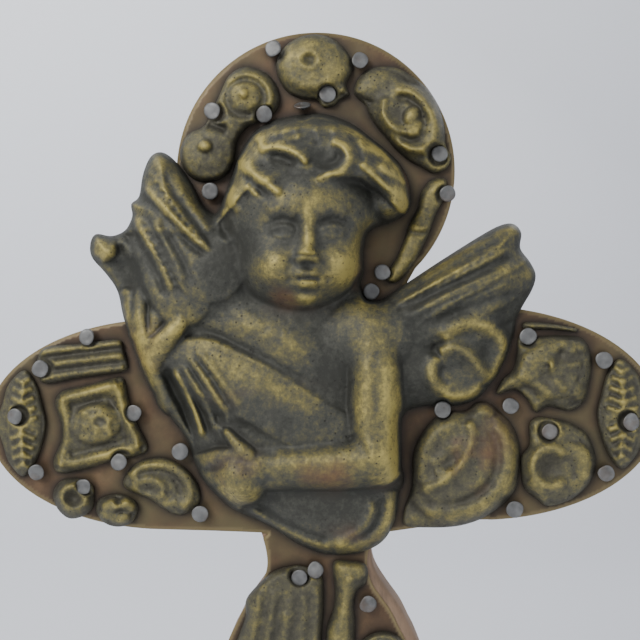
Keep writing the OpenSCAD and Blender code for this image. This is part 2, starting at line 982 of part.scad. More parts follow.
module pressure_pad() {
    color(brass)
        behind(pad_front)
            difference() {
                cylinder(r = pad_r, h = pad_back - pad_front);
                translate([0, 0, pad_back - pad_front - pivot_len])
                    cylinder(r = pivot_r + run_gap, h = pivot_len + over);
            }
}

// The thumbscrew's flat wings, seen along the screw
module wing_outline() {
    polygon(smooth([
        [-wing_half_w, 4], [-11, 7.5], [-6, 6.5], [0, 5.5], [6, 6.5], [11, 7.5], [wing_half_w, 4],
        [14, -2], [9, -4.5], [5, -5.5], [0, -6.5], [-5, -5.5], [-9, -4.5], [-14, -2]
    ], 4));
}

module thumbscrew() {
    color(brass) {
        behind(pad_back)
            cylinder(r = screw_r, h = head_at - pad_back + over);
        behind(pad_back - pivot_len + pivot_gap)
            cylinder(r = pivot_r, h = pivot_len + over);
        behind(head_at)
            cylinder(r = flange_r, h = flange_t);
        behind(head_at + flange_t - wing_root)
            linear_extrude(wing_t)
                wing_outline();
    }
}

upright_board();
crossbar_board();
lap_pegs();
copper_facing();
cherub_relief();
top_boss();
twin_boss_plate();
shell_scroll();
ribbed_strap();
fluted_bar();
framed_plaque();
c_scroll();
knot_flower();
ring_mount();
left_end_leaf();
scallop_cartouche();
acanthus_curl();
edge_bar();
ring_leaf();
right_end_leaf();
pleated_plate();
bone_scroll();
round_stud();
shaft_rosette();
shaft_strap();
shaft_husk();
halo_nail_set();  // halo_nails
left_nail_set();  // left_arm_nails
right_nail_set();  // right_arm_nails
shaft_nail_set();  // shaft_nails
board_ferrule();
tang_rod();
tang_pins();
upper_collar();
knop_upper();
knop_lower();
knop_band();
knop_core();
lower_collar();
staff_socket();
socket_rim();
tang_washer();
tang_nut();
screw_boss();
thumbscrew();
pressure_pad();
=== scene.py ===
"""Processional cross: sculpted bronze reliefs, patinated copper sheet, worn wood and a turned brass foot."""

import math

import bpy
import numpy as np
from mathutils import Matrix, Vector


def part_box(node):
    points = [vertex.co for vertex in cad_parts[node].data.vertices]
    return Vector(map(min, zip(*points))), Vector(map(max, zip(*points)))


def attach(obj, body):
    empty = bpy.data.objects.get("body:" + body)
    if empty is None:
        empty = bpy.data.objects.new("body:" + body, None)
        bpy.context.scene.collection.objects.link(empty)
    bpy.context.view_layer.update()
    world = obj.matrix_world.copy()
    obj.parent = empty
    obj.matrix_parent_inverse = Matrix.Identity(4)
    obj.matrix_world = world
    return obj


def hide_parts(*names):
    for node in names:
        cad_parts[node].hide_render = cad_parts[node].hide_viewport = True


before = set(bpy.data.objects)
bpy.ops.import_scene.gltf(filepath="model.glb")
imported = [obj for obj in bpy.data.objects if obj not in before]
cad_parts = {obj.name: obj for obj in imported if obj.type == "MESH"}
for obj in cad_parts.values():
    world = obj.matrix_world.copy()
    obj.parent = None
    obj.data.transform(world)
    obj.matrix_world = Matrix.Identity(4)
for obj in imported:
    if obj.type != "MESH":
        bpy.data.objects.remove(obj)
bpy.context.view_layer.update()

# ---------- places that everything is measured from, in metres ----------

MM = 0.001
FACE_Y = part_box("copper_facing")[0].y
WOOD_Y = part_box("upright_board")[0].y
BACK_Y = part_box("upright_board")[1].y
CROSS_Z = (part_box("lap_pegs")[0].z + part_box("lap_pegs")[1].z) / 2

# The castings narrow towards one point in front of the cross, in millimetres: x, z and height
DRAFT_POINT = (24.7, 52.5, 443.0)


def on_front(x, z, h):
    """A point of the front in metres, from millimetres across, up and out of the copper sheet."""
    pull = h / DRAFT_POINT[2]
    across = x + (DRAFT_POINT[0] - x) * pull
    up = z + (DRAFT_POINT[1] - z) * pull
    return across * MM, FACE_Y - h * MM, CROSS_Z + up * MM


# ---------- camera, stage and light ----------

VIEW_TARGET = Vector((1.5 * MM, FACE_Y, CROSS_Z + 52.5 * MM))
VIEW_DISTANCE = 0.444
VIEW_TURN = math.radians(3)


def make_camera():
    data = bpy.data.cameras.new("camera")
    data.lens = 50
    data.sensor_width = 36
    data.clip_start = 0.01
    camera = bpy.data.objects.new("camera", data)
    back = Vector((math.sin(VIEW_TURN), -math.cos(VIEW_TURN), 0))
    camera.location = VIEW_TARGET + back * VIEW_DISTANCE
    camera.rotation_euler = (-back).to_track_quat("-Z", "Y").to_euler()
    bpy.context.scene.collection.objects.link(camera)
    bpy.context.scene.camera = camera


def plain_material(name, colour, roughness):
    material = bpy.data.materials.new(name)
    material.use_nodes = True
    shader = material.node_tree.nodes["Principled BSDF"]
    shader.inputs["Base Color"].default_value = (*colour, 1)
    shader.inputs["Roughness"].default_value = roughness
    return material


def paper_material():
    """Pale paper that glows more towards its top and its left: painted light standing in for lamplight
    falling on the wall.
    """
    material = plain_material("backdrop_paper", (0.74, 0.75, 0.79), 0.95)
    nodes, links = material.node_tree.nodes, material.node_tree.links
    place = nodes.new("ShaderNodeNewGeometry")
    slope = nodes.new("ShaderNodeVectorMath")
    slope.operation = "DOT_PRODUCT"
    slope.inputs[1].default_value = (-0.08, 0.0, 0.20)
    links.new(place.outputs["Position"], slope.inputs[0])
    glow = nodes.new("ShaderNodeMath")
    glow.operation = "ADD"
    glow.inputs[1].default_value = 0.05
    links.new(slope.outputs["Value"], glow.inputs[0])
    shader = nodes["Principled BSDF"]
    # painted light: the paper glows, more strongly higher up and further left
    shader.inputs["Emission Color"].default_value = (0.95, 0.98, 1.0, 1)
    links.new(glow.outputs[0], shader.inputs["Emission Strength"])
    return material


def make_stage():
    """A floor that sweeps up into a wall well behind the cross."""
    width = 3.0
    front_y = -3.0
    bend_y = 1.3
    bend_r = 0.5
    top = 3.0
    profile = [(front_y, 0.0), (bend_y, 0.0)]
    steps = 16
    for i in range(1, steps + 1):
        a = math.pi / 2 * i / steps
        profile.append((bend_y + bend_r * math.sin(a), bend_r * (1 - math.cos(a))))
    profile.append((bend_y + bend_r, top))
    points = [(side * width, y, z - MM) for y, z in profile for side in (-1, 1)]
    faces = [(2 * i, 2 * i + 1, 2 * i + 3, 2 * i + 2) for i in range(len(profile) - 1)]
    mesh = bpy.data.meshes.new("backdrop")
    mesh.from_pydata(points, [], faces)
    mesh.polygons.foreach_set("use_smooth", [True] * len(faces))
    backdrop = bpy.data.objects.new("backdrop", mesh)
    mesh.materials.append(paper_material())
    bpy.context.scene.collection.objects.link(backdrop)


def area_light(name, place, aim, size, power, colour):
    data = bpy.data.lights.new(name, "AREA")
    data.shape = "DISK"
    data.size = size
    data.energy = power
    data.color = colour
    light = bpy.data.objects.new(name, data)
    light.location = place
    light.rotation_euler = (Vector(aim) - Vector(place)).to_track_quat("-Z", "Y").to_euler()
    bpy.context.scene.collection.objects.link(light)


def make_lights():
    aim = (0, 0, CROSS_Z + 0.05)
    area_light("key", (-0.9, -1.3, 1.35), aim, 0.9, 26, (1.0, 0.99, 0.97))
    area_light("fill", (1.5, -1.4, 0.7), aim, 1.4, 9, (0.95, 0.97, 1.0))
    area_light("back_light", (0.8, 1.1, 1.5), aim, 1.0, 8, (1.0, 1.0, 1.0))
    area_light("wall_light", (-1.3, 0.3, 1.9), (-0.6, 1.8, 1.1), 0.8, 17, (0.97, 0.99, 1.0))
    world = bpy.data.worlds.new("studio")
    world.use_nodes = True
    background = world.node_tree.nodes["Background"]
    background.inputs["Color"].default_value = (0.80, 0.83, 0.90, 1)
    background.inputs["Strength"].default_value = 0.62
    bpy.context.scene.world = world


# ---------- building materials from nodes ----------


class Shader:
    """A short way to wire one procedural material."""

    def __init__(self, name):
        self.material = bpy.data.materials.new(name)
        self.material.use_nodes = True
        self.tree = self.material.node_tree
        self.main = self.tree.nodes["Principled BSDF"]
        self.place = self.node("ShaderNodeTexCoord").outputs["Object"]

    def node(self, kind, **settings):
        made = self.tree.nodes.new(kind)
        for key, value in settings.items():
            setattr(made, key, value)
        return made

    def plug(self, socket, value):
        if hasattr(value, "links"):
            self.tree.links.new(value, socket)
        else:
            socket.default_value = value

    def noise(self, scale, detail=4, roughness=0.55, place=None):
        made = self.node("ShaderNodeTexNoise")
        self.plug(made.inputs["Vector"], place or self.place)
        made.inputs["Scale"].default_value = scale
        made.inputs["Detail"].default_value = detail
        made.inputs["Roughness"].default_value = roughness
        return made.outputs["Fac"]

    def cells(self, scale, place=None):
        made = self.node("ShaderNodeTexVoronoi")
        self.plug(made.inputs["Vector"], place or self.place)
        made.inputs["Scale"].default_value = scale
        return made.outputs["Distance"]

    def stretched(self, scale, turn=(0, 0, 0)):
        made = self.node("ShaderNodeMapping")
        self.plug(made.inputs["Vector"], self.place)
        made.inputs["Scale"].default_value = scale
        made.inputs["Rotation"].default_value = turn
        return made.outputs["Vector"]

    def attribute(self, name):
        return self.node("ShaderNodeAttribute", attribute_name=name).outputs["Fac"]

    def math(self, kind, a, b, clamp=False):
        made = self.node("ShaderNodeMath", operation=kind, use_clamp=clamp)
        self.plug(made.inputs[0], a)
        self.plug(made.inputs[1], b)
        return made.outputs[0]

    def spread(self, value, low, high, to_low=0.0, to_high=1.0):
        made = self.node("ShaderNodeMapRange")
        self.plug(made.inputs["Value"], value)
        for key, number in (("From Min", low), ("From Max", high), ("To Min", to_low), ("To Max", to_high)):
            made.inputs[key].default_value = number
        return made.outputs["Result"]

    def ramp(self, value, *stops):
        made = self.node("ShaderNodeValToRGB")
        self.plug(made.inputs["Fac"], value)
        elements = made.color_ramp.elements
        while len(elements) < len(stops):
            elements.new(0.5)
        for element, (where, colour) in zip(elements, stops):
            element.position = where
            element.color = (*colour, 1)
        return made.outputs["Color"]

    def mix(self, amount, a, b, kind="MIX"):
        made = self.node("ShaderNodeMix", data_type="RGBA", blend_type=kind)
        self.plug(made.inputs["Factor"], amount)
        for socket, value in ((made.inputs["A"], a), (made.inputs["B"], b)):
            self.plug(socket, value if hasattr(value, "links") else (*value, 1))
        return made.outputs["Result"]

    def bump(self, height, strength, distance, below=None):
        made = self.node("ShaderNodeBump")
        self.plug(made.inputs["Height"], height)
        made.inputs["Strength"].default_value = strength
        made.inputs["Distance"].default_value = distance
        if below is not None:
            self.plug(made.inputs["Normal"], below)
        return made.outputs["Normal"]

    def finish(self, colour, roughness, normal, metallic=0.0):
        self.plug(self.main.inputs["Base Color"], colour)
        self.plug(self.main.inputs["Roughness"], roughness)
        self.plug(self.main.inputs["Normal"], normal)
        self.main.inputs["Metallic"].default_value = metallic
        return self.material


def bronze_material(name, gold, dull):
    """Old bronze: grey-olive in hollows, rubbed to dull gold on high spots, with copper-red showing."""
    s = Shader(name)
    patches = s.noise(26, 5, 0.6)
    grain = s.noise(230, 6, 0.72)
    speckle = s.noise(620, 4, 0.7)
    wear = s.math("ADD", s.attribute("wear"), s.spread(patches, 0.3, 0.7, -0.14, 0.14))
    wear = s.math("ADD", wear, s.spread(speckle, 0.35, 0.65, -0.09, 0.09))
    wear = s.math("ADD", wear, s.spread(grain, 0.3, 0.7, -0.24, 0.24), clamp=True)
    metal = s.ramp(
        wear,
        (0.0, tuple(0.6 * c for c in dull)),
        (0.28, dull),
        (0.46, (0.092, 0.084, 0.045)),
        (0.68, (0.165, 0.14, 0.05)),
        (1.0, gold),
    )
    red = s.spread(s.noise(34, 3, 0.5), 0.5, 0.7)
    red = s.math("MULTIPLY", red, s.attribute("red"), clamp=True)
    metal = s.mix(red, metal, (0.17, 0.078, 0.034))
    pits = s.spread(s.cells(330), 0.06, 0.2)
    pit_room = s.spread(s.noise(30, 2, 0.5), 0.42, 0.58, 1.0, 0.0)
    pits = s.math("MAXIMUM", pits, pit_room, clamp=True)
    metal = s.mix(pits, (0.02, 0.018, 0.014), metal)
    roughness = s.spread(wear, 0.0, 1.0, 0.66, 0.52)
    normal = s.bump(grain, 0.55, 0.0005)
    normal = s.bump(pits, 0.5, 0.0005, normal)
    return s.finish(metal, roughness, normal, 0.3)


def copper_material():
    """Thin copper sheet gone brown, with olive bloom, painted shade round the castings, under the nail heads
    and in an empty hole, a painted highlight along its cut edge, and fine scratches.
    """
    s = Shader("copper_patina")
    patches = s.noise(26, 6, 0.62)
    fine = s.noise(150, 5, 0.7)
    broad, close = s.spread(patches, 0.3, 0.7, 0.1, 0.75), s.spread(fine, 0.3, 0.7, -0.12, 0.2)
    tone = s.math("ADD", broad, close, clamp=True)
    colour = s.ramp(
        tone,
        (0.0, (0.05, 0.032, 0.02)),
        (0.4, (0.098, 0.058, 0.031)),
        (0.7, (0.155, 0.094, 0.048)),
        (1.0, (0.25, 0.155, 0.08)),
    )
    olive = s.spread(s.noise(17, 4, 0.6), 0.46, 0.66, 0.0, 0.75)
    colour = s.mix(olive, colour, (0.115, 0.1, 0.045))
    # painted shade: darker round the castings, under the nail heads and in the empty hole, broken up by fine
    # noise
    painted_shade_field = s.math("MULTIPLY", s.attribute("painted_shade_field"), s.spread(fine, 0.2, 0.8, 0.65, 1.1), clamp=True)
    colour = s.mix(painted_shade_field, colour, (0.02, 0.016, 0.012))
    # painted highlight: a brighter strip along the sheet's cut edge
    bright = s.attribute("edge")
    colour = s.mix(bright, colour, (0.26, 0.2, 0.09))
    roughness = s.spread(fine, 0.3, 0.7, 0.42, 0.62)
    scratches = s.noise(60, 3, 0.6, s.stretched((9, 9, 1), (0, math.radians(50), 0)))
    normal = s.bump(scratches, 0.12, 0.0004)
    normal = s.bump(patches, 0.25, 0.0008, normal)
    return s.finish(colour, roughness, normal, 0.4)


def wood_material(name, along, tone):
    """Worn bare wood, its grain running along one axis."""
    s = Shader(name)
    grain_scale = {"x": (1.2, 14, 14), "z": (14, 14, 1.2)}[along]
    line_scale = {"x": (3, 70, 70), "z": (70, 70, 3)}[along]
    bands = s.noise(5.5, 5, 0.6, s.stretched(grain_scale))
    lines = s.noise(8, 6, 0.7, s.stretched(line_scale))
    worn = s.noise(16, 4, 0.6)
    broad, close = s.spread(bands, 0.25, 0.75, 0.0, 0.8), s.spread(lines, 0.3, 0.7, -0.14, 0.26)
    mixed = s.math("ADD", broad, close, clamp=True)
    dark = tuple(0.48 * c for c in tone)
    pale = tuple(min(1, 1.22 * c) for c in tone)
    colour = s.ramp(mixed, (0.0, dark), (0.45, tone), (1.0, pale))
    colour = s.mix(s.spread(worn, 0.5, 0.75, 0.0, 0.55), colour, tuple(0.6 * c for c in tone))
    normal = s.bump(lines, 0.35, 0.0004)
    normal = s.bump(bands, 0.2, 0.0008, normal)
    return s.finish(colour, s.spread(lines, 0.3, 0.7, 0.62, 0.8), normal)


def steel_material(name, tone):
    """Dull zinc-grey steel with hammer marks and a little dirt."""
    s = Shader(name)
    fine = s.noise(420, 4, 0.7)
    marks = s.noise(180, 3, 0.5)
    colour = s.ramp(s.spread(marks, 0.3, 0.7), (0.0, tuple(0.5 * c for c in tone)), (1.0, tone))
    rust = s.spread(s.noise(70, 4, 0.6), 0.56, 0.74, 0.0, 0.6)
    colour = s.mix(rust, colour, (0.12, 0.075, 0.045))
    normal = s.bump(marks, 0.35, 0.0003)
    normal = s.bump(fine, 0.2, 0.0002, normal)
    return s.finish(colour, s.spread(fine, 0.3, 0.7, 0.42, 0.6), normal, 0.5)


def brass_material(name):
    """Turned brass with lathe lines, browned in the grooves."""
    s = Shader(name)
    rings = s.noise(9, 3, 0.6, s.stretched((2, 2, 90)))
    stain = s.noise(28, 5, 0.6)
    tone = s.math("ADD", s.spread(stain, 0.3, 0.7), s.spread(rings, 0.3, 0.7, -0.15, 0.15), clamp=True)
    colour = s.ramp(
        tone, (0.0, (0.075, 0.058, 0.03)), (0.35, (0.20, 0.15, 0.065)), (0.7, (0.36, 0.27, 0.11)),
                    (1.0, (0.52, 0.40, 0.18))
    )
    normal = s.bump(rings, 0.2, 0.0003)
    normal = s.bump(stain, 0.15, 0.0006, normal)
    return s.finish(colour, s.spread(stain, 0.3, 0.7, 0.48, 0.28), normal, 0.85)


# ---------- outlines taken from the CAD nodes ----------


def welded(obj):
    """The node's points, each once, and its triangles as triples of point numbers."""
    mesh = obj.data
    mesh.calc_loop_triangles()
    points = np.zeros(len(mesh.vertices) * 3)
    mesh.vertices.foreach_get("co", points)
    points = points.reshape(-1, 3)
    corners = np.zeros(len(mesh.loop_triangles) * 3, int)
    mesh.loop_triangles.foreach_get("vertices", corners)
    keys, where = np.unique(np.round(points / (2e-6)).astype(int), axis=0, return_inverse=True)
    return keys * 2e-6, where.reshape(-1)[corners].reshape(-1, 3)


def chains(edges):
    """Closed runs of point numbers, from directed edges."""
    following = {}
    for a, b in edges:
        following.setdefault(a, []).append(b)
    runs = []
    while following:
        start = next(iter(following))
        run = [start]
        here = following[start].pop()
        if not following[start]:
            del following[start]
        while here != start and here in following:
            run.append(here)
            ahead = following[here].pop()
            if not following[here]:
                del following[here]
            here = ahead
        runs.append(run)
    return runs


def loop_area(loop):
    x, z = loop[:, 0], loop[:, 1]
    return 0.5 * float(np.sum(x * np.roll(z, -1) - np.roll(x, -1) * z))


def node_loop(node, y):
    """The outer outline of a node's flat face at depth y, in millimetres from the crossing, anticlockwise."""
    points, triangles = welded(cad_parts[node])
    flat = np.abs(points[:, 1] - y) < 2e-5
    face = triangles[flat[triangles].all(axis=1)]
    edges = [(int(t[i]), int(t[(i + 1) % 3])) for t in face for i in range(3)]
    known = set(edges)
    border = [e for e in edges if (e[1], e[0]) not in known]
    loops = []
    for run in chains(border):
        place = points[run]
        loops.append(np.stack([place[:, 0] / MM, (place[:, 2] - CROSS_Z) / MM], 1))
    widest = max(loops, key=lambda p: abs(loop_area(p)))
    return widest if loop_area(widest) > 0 else widest[::-1]


def curve_through(points, steps, closed):
    """More points along the smooth curve through the given ones."""
    p = np.asarray(points, float)
    if closed:
        before, after, later = np.roll(p, 1, 0), np.roll(p, -1, 0), np.roll(p, -2, 0)
    else:
        padded = np.vstack([2 * p[0] - p[1], p, 2 * p[-1] - p[-2]])
        before, after, later = padded[:-3], padded[2:-1], padded[3:]
        p = padded[1:-2]
    t = (np.arange(steps) / steps)[None, :, None]
    a, b, c, d = (q[:, None, :] for q in (before, p, after, later))
    q = 0.5 * (2 * b + (c - a) * t + (2 * a - 5 * b + 4 * c - d) * t**2 + (3 * b - a - 3 * c + d) * t**3)
    q = q.reshape(-1, q.shape[-1])
    return q if closed else np.vstack([q, np.asarray(points, float)[-1:]])


def inside_distance(x, z, loop):
    """Distance to an outline, positive inside, and the nearest point of it."""
    best = np.full(x.shape, 1e9)
    near_x = np.zeros(x.shape)
    near_z = np.zeros(x.shape)
    inside = np.zeros(x.shape, bool)
    for (ax, az), (bx, bz) in zip(loop, np.roll(loop, -1, 0)):
        ex, ez = bx - ax, bz - az
        length = ex * ex + ez * ez
        if length < 1e-12:
            continue
        t = np.clip(((x - ax) * ex + (z - az) * ez) / length, 0, 1)
        px, pz = ax + t * ex, az + t * ez
        far = (x - px) ** 2 + (z - pz) ** 2
        closer = far < best
        best = np.where(closer, far, best)
        near_x = np.where(closer, px, near_x)
        near_z = np.where(closer, pz, near_z)
        if az != bz:
            inside ^= ((az > z) != (bz > z)) & (x < ex * (z - az) / ez + ax)
    far = np.sqrt(best)
    return np.where(inside, far, -far), near_x, near_z


# ---------- nails ----------


def loose_parts(node):
    """The separate solids of a node, each as an array of points."""
    points, triangles = welded(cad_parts[node])
    group = np.arange(len(points))
    changed = True
    while changed:
        low = group[triangles].min(axis=1)
        fresh = group.copy()
        for i in range(3):
            np.minimum.at(fresh, triangles[:, i], low)
        changed = bool((fresh != group).any())
        group = fresh
    return [points[group == g] for g in np.unique(group)]


NAIL_NODES = ("halo_nails", "left_arm_nails", "right_arm_nails", "shaft_nails")
NAIL_R = 4.1
NAIL_T = 1.1
SHANK_R = 1.3


def find_nails(node):
    """Each nail: its head's centre in metres, the direction that the head faces, and its shank's foot."""
    found = []
    for part in loose_parts(node):
        shank = part[part[:, 1].argmax()]
        axis = part[np.abs(part[:, 1] - shank[1]) < 1e-5].mean(0)
        away = np.hypot(part[:, 0] - axis[0], part[:, 2] - axis[2])
        head = part[(away > 1.6 * SHANK_R * MM) | (part[:, 1] < FACE_Y - 8 * MM)]
        centre = head.mean(0)
        facing = np.linalg.svd(head - centre)[2][-1]
        found.append((Vector(centre), Vector(facing if facing[1] < 0 else -facing), Vector(axis)))
    return found


NAILS = {node: find_nails(node) for node in NAIL_NODES}
NAIL_SPOTS = [
    (centre.x / MM, (centre.z - CROSS_Z) / MM) for nails in NAILS.values() for centre, facing, axis in nails
]

# ---------- sculpting in relief ----------


def smooth_max(a, b, k):
    h = np.maximum(k - np.abs(a - b), 0) / k
    return np.maximum(a, b) + h * h * k / 4


def smooth_step(v, low, high):
    t = np.clip((v - low) / (high - low), 0, 1)
    return t * t * (3 - 2 * t)


def roughness_field(x, z, size, seed):
    """Smooth random bumps about size across, from -1 to 1."""
    lattice = np.random.default_rng(seed).uniform(-1, 1, (64, 64))
    u, v = x / size + 900.0, z / size + 900.0
    i, j = np.floor(u).astype(int), np.floor(v).astype(int)
    fu, fv = u - i, v - j
    fu, fv = fu * fu * (3 - 2 * fu), fv * fv * (3 - 2 * fv)
    i, j, i_next, j_next = i % 64, j % 64, (i + 1) % 64, (j + 1) % 64
    low = lattice[i, j] * (1 - fu) + lattice[i_next, j] * fu
    high = lattice[i, j_next] * (1 - fu) + lattice[i_next, j_next] * fu
    return low * (1 - fv) + high * fv


def blurred(field, sigma):
    """A soft copy of a field, sigma in grid steps."""
    reach = int(3 * sigma) + 1
    weight = np.exp(-0.5 * (np.arange(-reach, reach + 1) / sigma) ** 2)
    weight /= weight.sum()
    for axis in (0, 1):
        wide = np.pad(field, [(reach, reach) if a == axis else (0, 0) for a in (0, 1)], mode="edge")
        field = sum(w * np.take(wide, np.arange(field.shape[axis]) + n, axis) for n, w in enumerate(weight))
    return field


# how high a casting's rim stands, as a share of its own rim height, and how rubbed its side and back are
RIM_SHARE = 0.55
BACK_WEAR = 0.12


class Relief:
    """A casting as a field of heights, in millimetres, inside the outline of its CAD node."""

    def __init__(self, node, step, base=3.0, rim=2.4, y=None):
        self.node = node
        self.step = step
        self.rim = rim
        self.loop = curve_through(node_loop(node, FACE_Y if y is None else y), 2, True)
        low, high = self.loop.min(0) - 2 * step, self.loop.max(0) + 2 * step
        self.x, self.z = np.meshgrid(
            np.arange(low[0], high[0], step), np.arange(low[1], high[1], step), indexing="ij"
        )
        self.d, self.near_x, self.near_z = inside_distance(self.x, self.z, self.loop)
        self.h = np.full(self.x.shape, float(base))
        self.red = np.zeros(self.x.shape)
        self.extra_wear = np.zeros(self.x.shape)

    def window(self, points, reach):
        """The part of the grid within reach of some points."""
        p = np.atleast_2d(np.asarray(points, float))[:, :2]
        low = ((p.min(0) - reach - (self.x[0, 0], self.z[0, 0])) / self.step).astype(int)
        high = ((p.max(0) + reach - (self.x[0, 0], self.z[0, 0])) / self.step).astype(int) + 2
        low, high = np.maximum(low, 0), np.maximum(high, 0)
        return slice(low[0], high[0]), slice(low[1], high[1])

    def local(self, w, x, z, rx, rz, turn):
        a = math.radians(turn)
        dx, dz = self.x[w] - x, self.z[w] - z
        return (dx * math.cos(a) + dz * math.sin(a)) / rx, (dz * math.cos(a) - dx * math.sin(a)) / rz

    def dome(self, x, z, rx, rz, top, turn=0, foot=0.0, blend=2.0, power=0.5):
        """Raises an oval swelling whose foot and top are at the given heights."""
        w = self.window((x, z), max(rx, rz) + blend)
        u, v = self.local(w, x, z, rx, rz, turn)
        r = u * u + v * v
        swell = foot + (top - foot) * np.maximum(1 - r, 0) ** power - np.maximum(r - 1, 0) * 20
        self.h[w] = smooth_max(self.h[w], swell, blend)

    def add(self, x, z, rx, rz, amount, turn=0):
        """Adds a soft bump, or a soft hollow where amount is negative."""
        w = self.window((x, z), 3 * max(rx, rz))
        u, v = self.local(w, x, z, rx, rz, turn)
        self.h[w] += amount * np.exp(-(u * u + v * v))

    def along(self, w, points):
        """Distance to a smooth line, and how far along it the nearest point is, from 0 to 1."""
        line = curve_through(points, 6, False)[:, :2]
        x, z = self.x[w], self.z[w]
        best = np.full(x.shape, 1e9)
        part = np.zeros(x.shape)
        side = np.zeros(x.shape)
        count = len(line) - 1
        for i in range(count):
            (ax, az), (bx, bz) = line[i], line[i + 1]
            ex, ez = bx - ax, bz - az
            t = np.clip(((x - ax) * ex + (z - az) * ez) / max(ex * ex + ez * ez, 1e-9), 0, 1)
            far = (x - ax - t * ex) ** 2 + (z - az - t * ez) ** 2
            closer = far < best
            best = np.where(closer, far, best)
            part = np.where(closer, (i + t) / count, part)
            side = np.where(closer, np.sign((z - az) * ex - (x - ax) * ez), side)
        return np.sqrt(best), part, side

    @staticmethod
    def varied(value, part):
        values = np.atleast_1d(np.asarray(value, float))
        return np.interp(part, np.linspace(0, 1, len(values)), values)

    def tube(self, points, r, top, drop=None, blend=2.0):
        """Raises a round limb along a line; r and top may change along it."""
        w = self.window(points, float(np.max(r)) + blend + 1)
        far, part, _ = self.along(w, points)
        r, top = self.varied(r, part), self.varied(top, part)
        drop = top if drop is None else self.varied(drop, part)
        q = far / np.maximum(r, 0.05)
        body = top - drop * (1 - np.sqrt(np.maximum(1 - q * q, 0))) - np.maximum(q - 1, 0) * 20
        self.h[w] = smooth_max(self.h[w], body, blend)

    def ridge(self, points, width, amount, taper=0.15, lean=0.0):
        """Adds a soft ridge along a line, or a groove where amount is negative; it fades out at its ends."""
        widest = float(np.max(width))
        w = self.window(points, 3 * widest)
        far, part, side = self.along(w, points)
        fade = smooth_step(part, 0, max(taper, 1e-3)) * (1 - smooth_step(part, 1 - max(taper, 1e-3), 1))
        width = 1.25 * self.varied(width, part) * (1 + lean * side)
        self.h[w] += self.varied(amount, part) * fade * np.exp(-((far / np.maximum(width, 0.05)) ** 2))

    def ring(self, x, z, rx, rz, width, amount, turn=0, span=(0, 360)):
        """Adds a ridge along an oval, or along a part of it."""
        a = np.radians(np.linspace(span[0], span[1], max(6, int((span[1] - span[0]) / 15))))
        t = math.radians(turn)
        px, pz = rx * np.cos(a), rz * np.sin(a)
        points = np.stack([x + px * math.cos(t) - pz * math.sin(t),
                           z + px * math.sin(t) + pz * math.cos(t)], 1)
        self.ridge(points, width, amount, 0.0 if span[1] - span[0] >= 360 else 0.12)

    def blush(self, x, z, rx, rz, amount, turn=0):
        """Copper-red shows through here."""
        w = self.window((x, z), 3 * max(rx, rz))
        u, v = self.local(w, x, z, rx, rz, turn)
        self.red[w] += amount * np.exp(-(u * u + v * v))

    def rub(self, x, z, rx, rz, amount, turn=0):
        """Rubbed brighter here, or left duller where amount is negative."""
        w = self.window((x, z), 3 * max(rx, rz))
        u, v = self.local(w, x, z, rx, rz, turn)
        self.extra_wear[w] += amount * np.exp(-(u * u + v * v))

    def gild(self, points, width, amount):
        """Rubbed brighter along a line."""
        w = self.window(points, 3 * width)
        far, _, _ = self.along(w, points)
        self.extra_wear[w] += amount * np.exp(-((far / width) ** 2))

    def settle(self, edge, grain=0.12, press=3.0):
        """Rounds the rim, presses the casting flat under nail heads and roughens it as cast metal."""
        for x, z in NAIL_SPOTS:
            w = self.window((x, z), 9)
            far = np.hypot(self.x[w] - x, self.z[w] - z)
            self.h[w] = np.minimum(self.h[w], 2.9 + np.maximum(far - 4.6, 0) * press)
        self.h = blurred(self.h, 0.5 / self.step)
        rise = 1 - np.exp(-np.maximum(self.d, 0) / edge)
        self.h = self.rim + (self.h - self.rim) * rise
        self.h += grain * rise * roughness_field(self.x, self.z, 2.1, 5)
        self.h += 0.5 * grain * rise * roughness_field(self.z, self.x, 0.9, 6)
        self.h = np.maximum(self.h, 0.6)

    def wear(self, gain=1.0, shift=0.0):
        """How rubbed each point is: high on crests, low in hollows and on steep flanks."""
        fine = self.h - blurred(self.h, 0.8 / self.step)
        middle = self.h - blurred(self.h, 2.4 / self.step)
        broad = self.h - blurred(self.h, 7.0 / self.step)
        slope = np.hypot(*np.gradient(blurred(self.h, 0.6 / self.step), self.step))
        value = 0.34 + shift + gain * (0.32 * fine + 0.16 * middle + 0.045 * broad)
        return np.clip(value - 0.08 * np.minimum(slope, 2.2) + self.extra_wear, 0, 1)

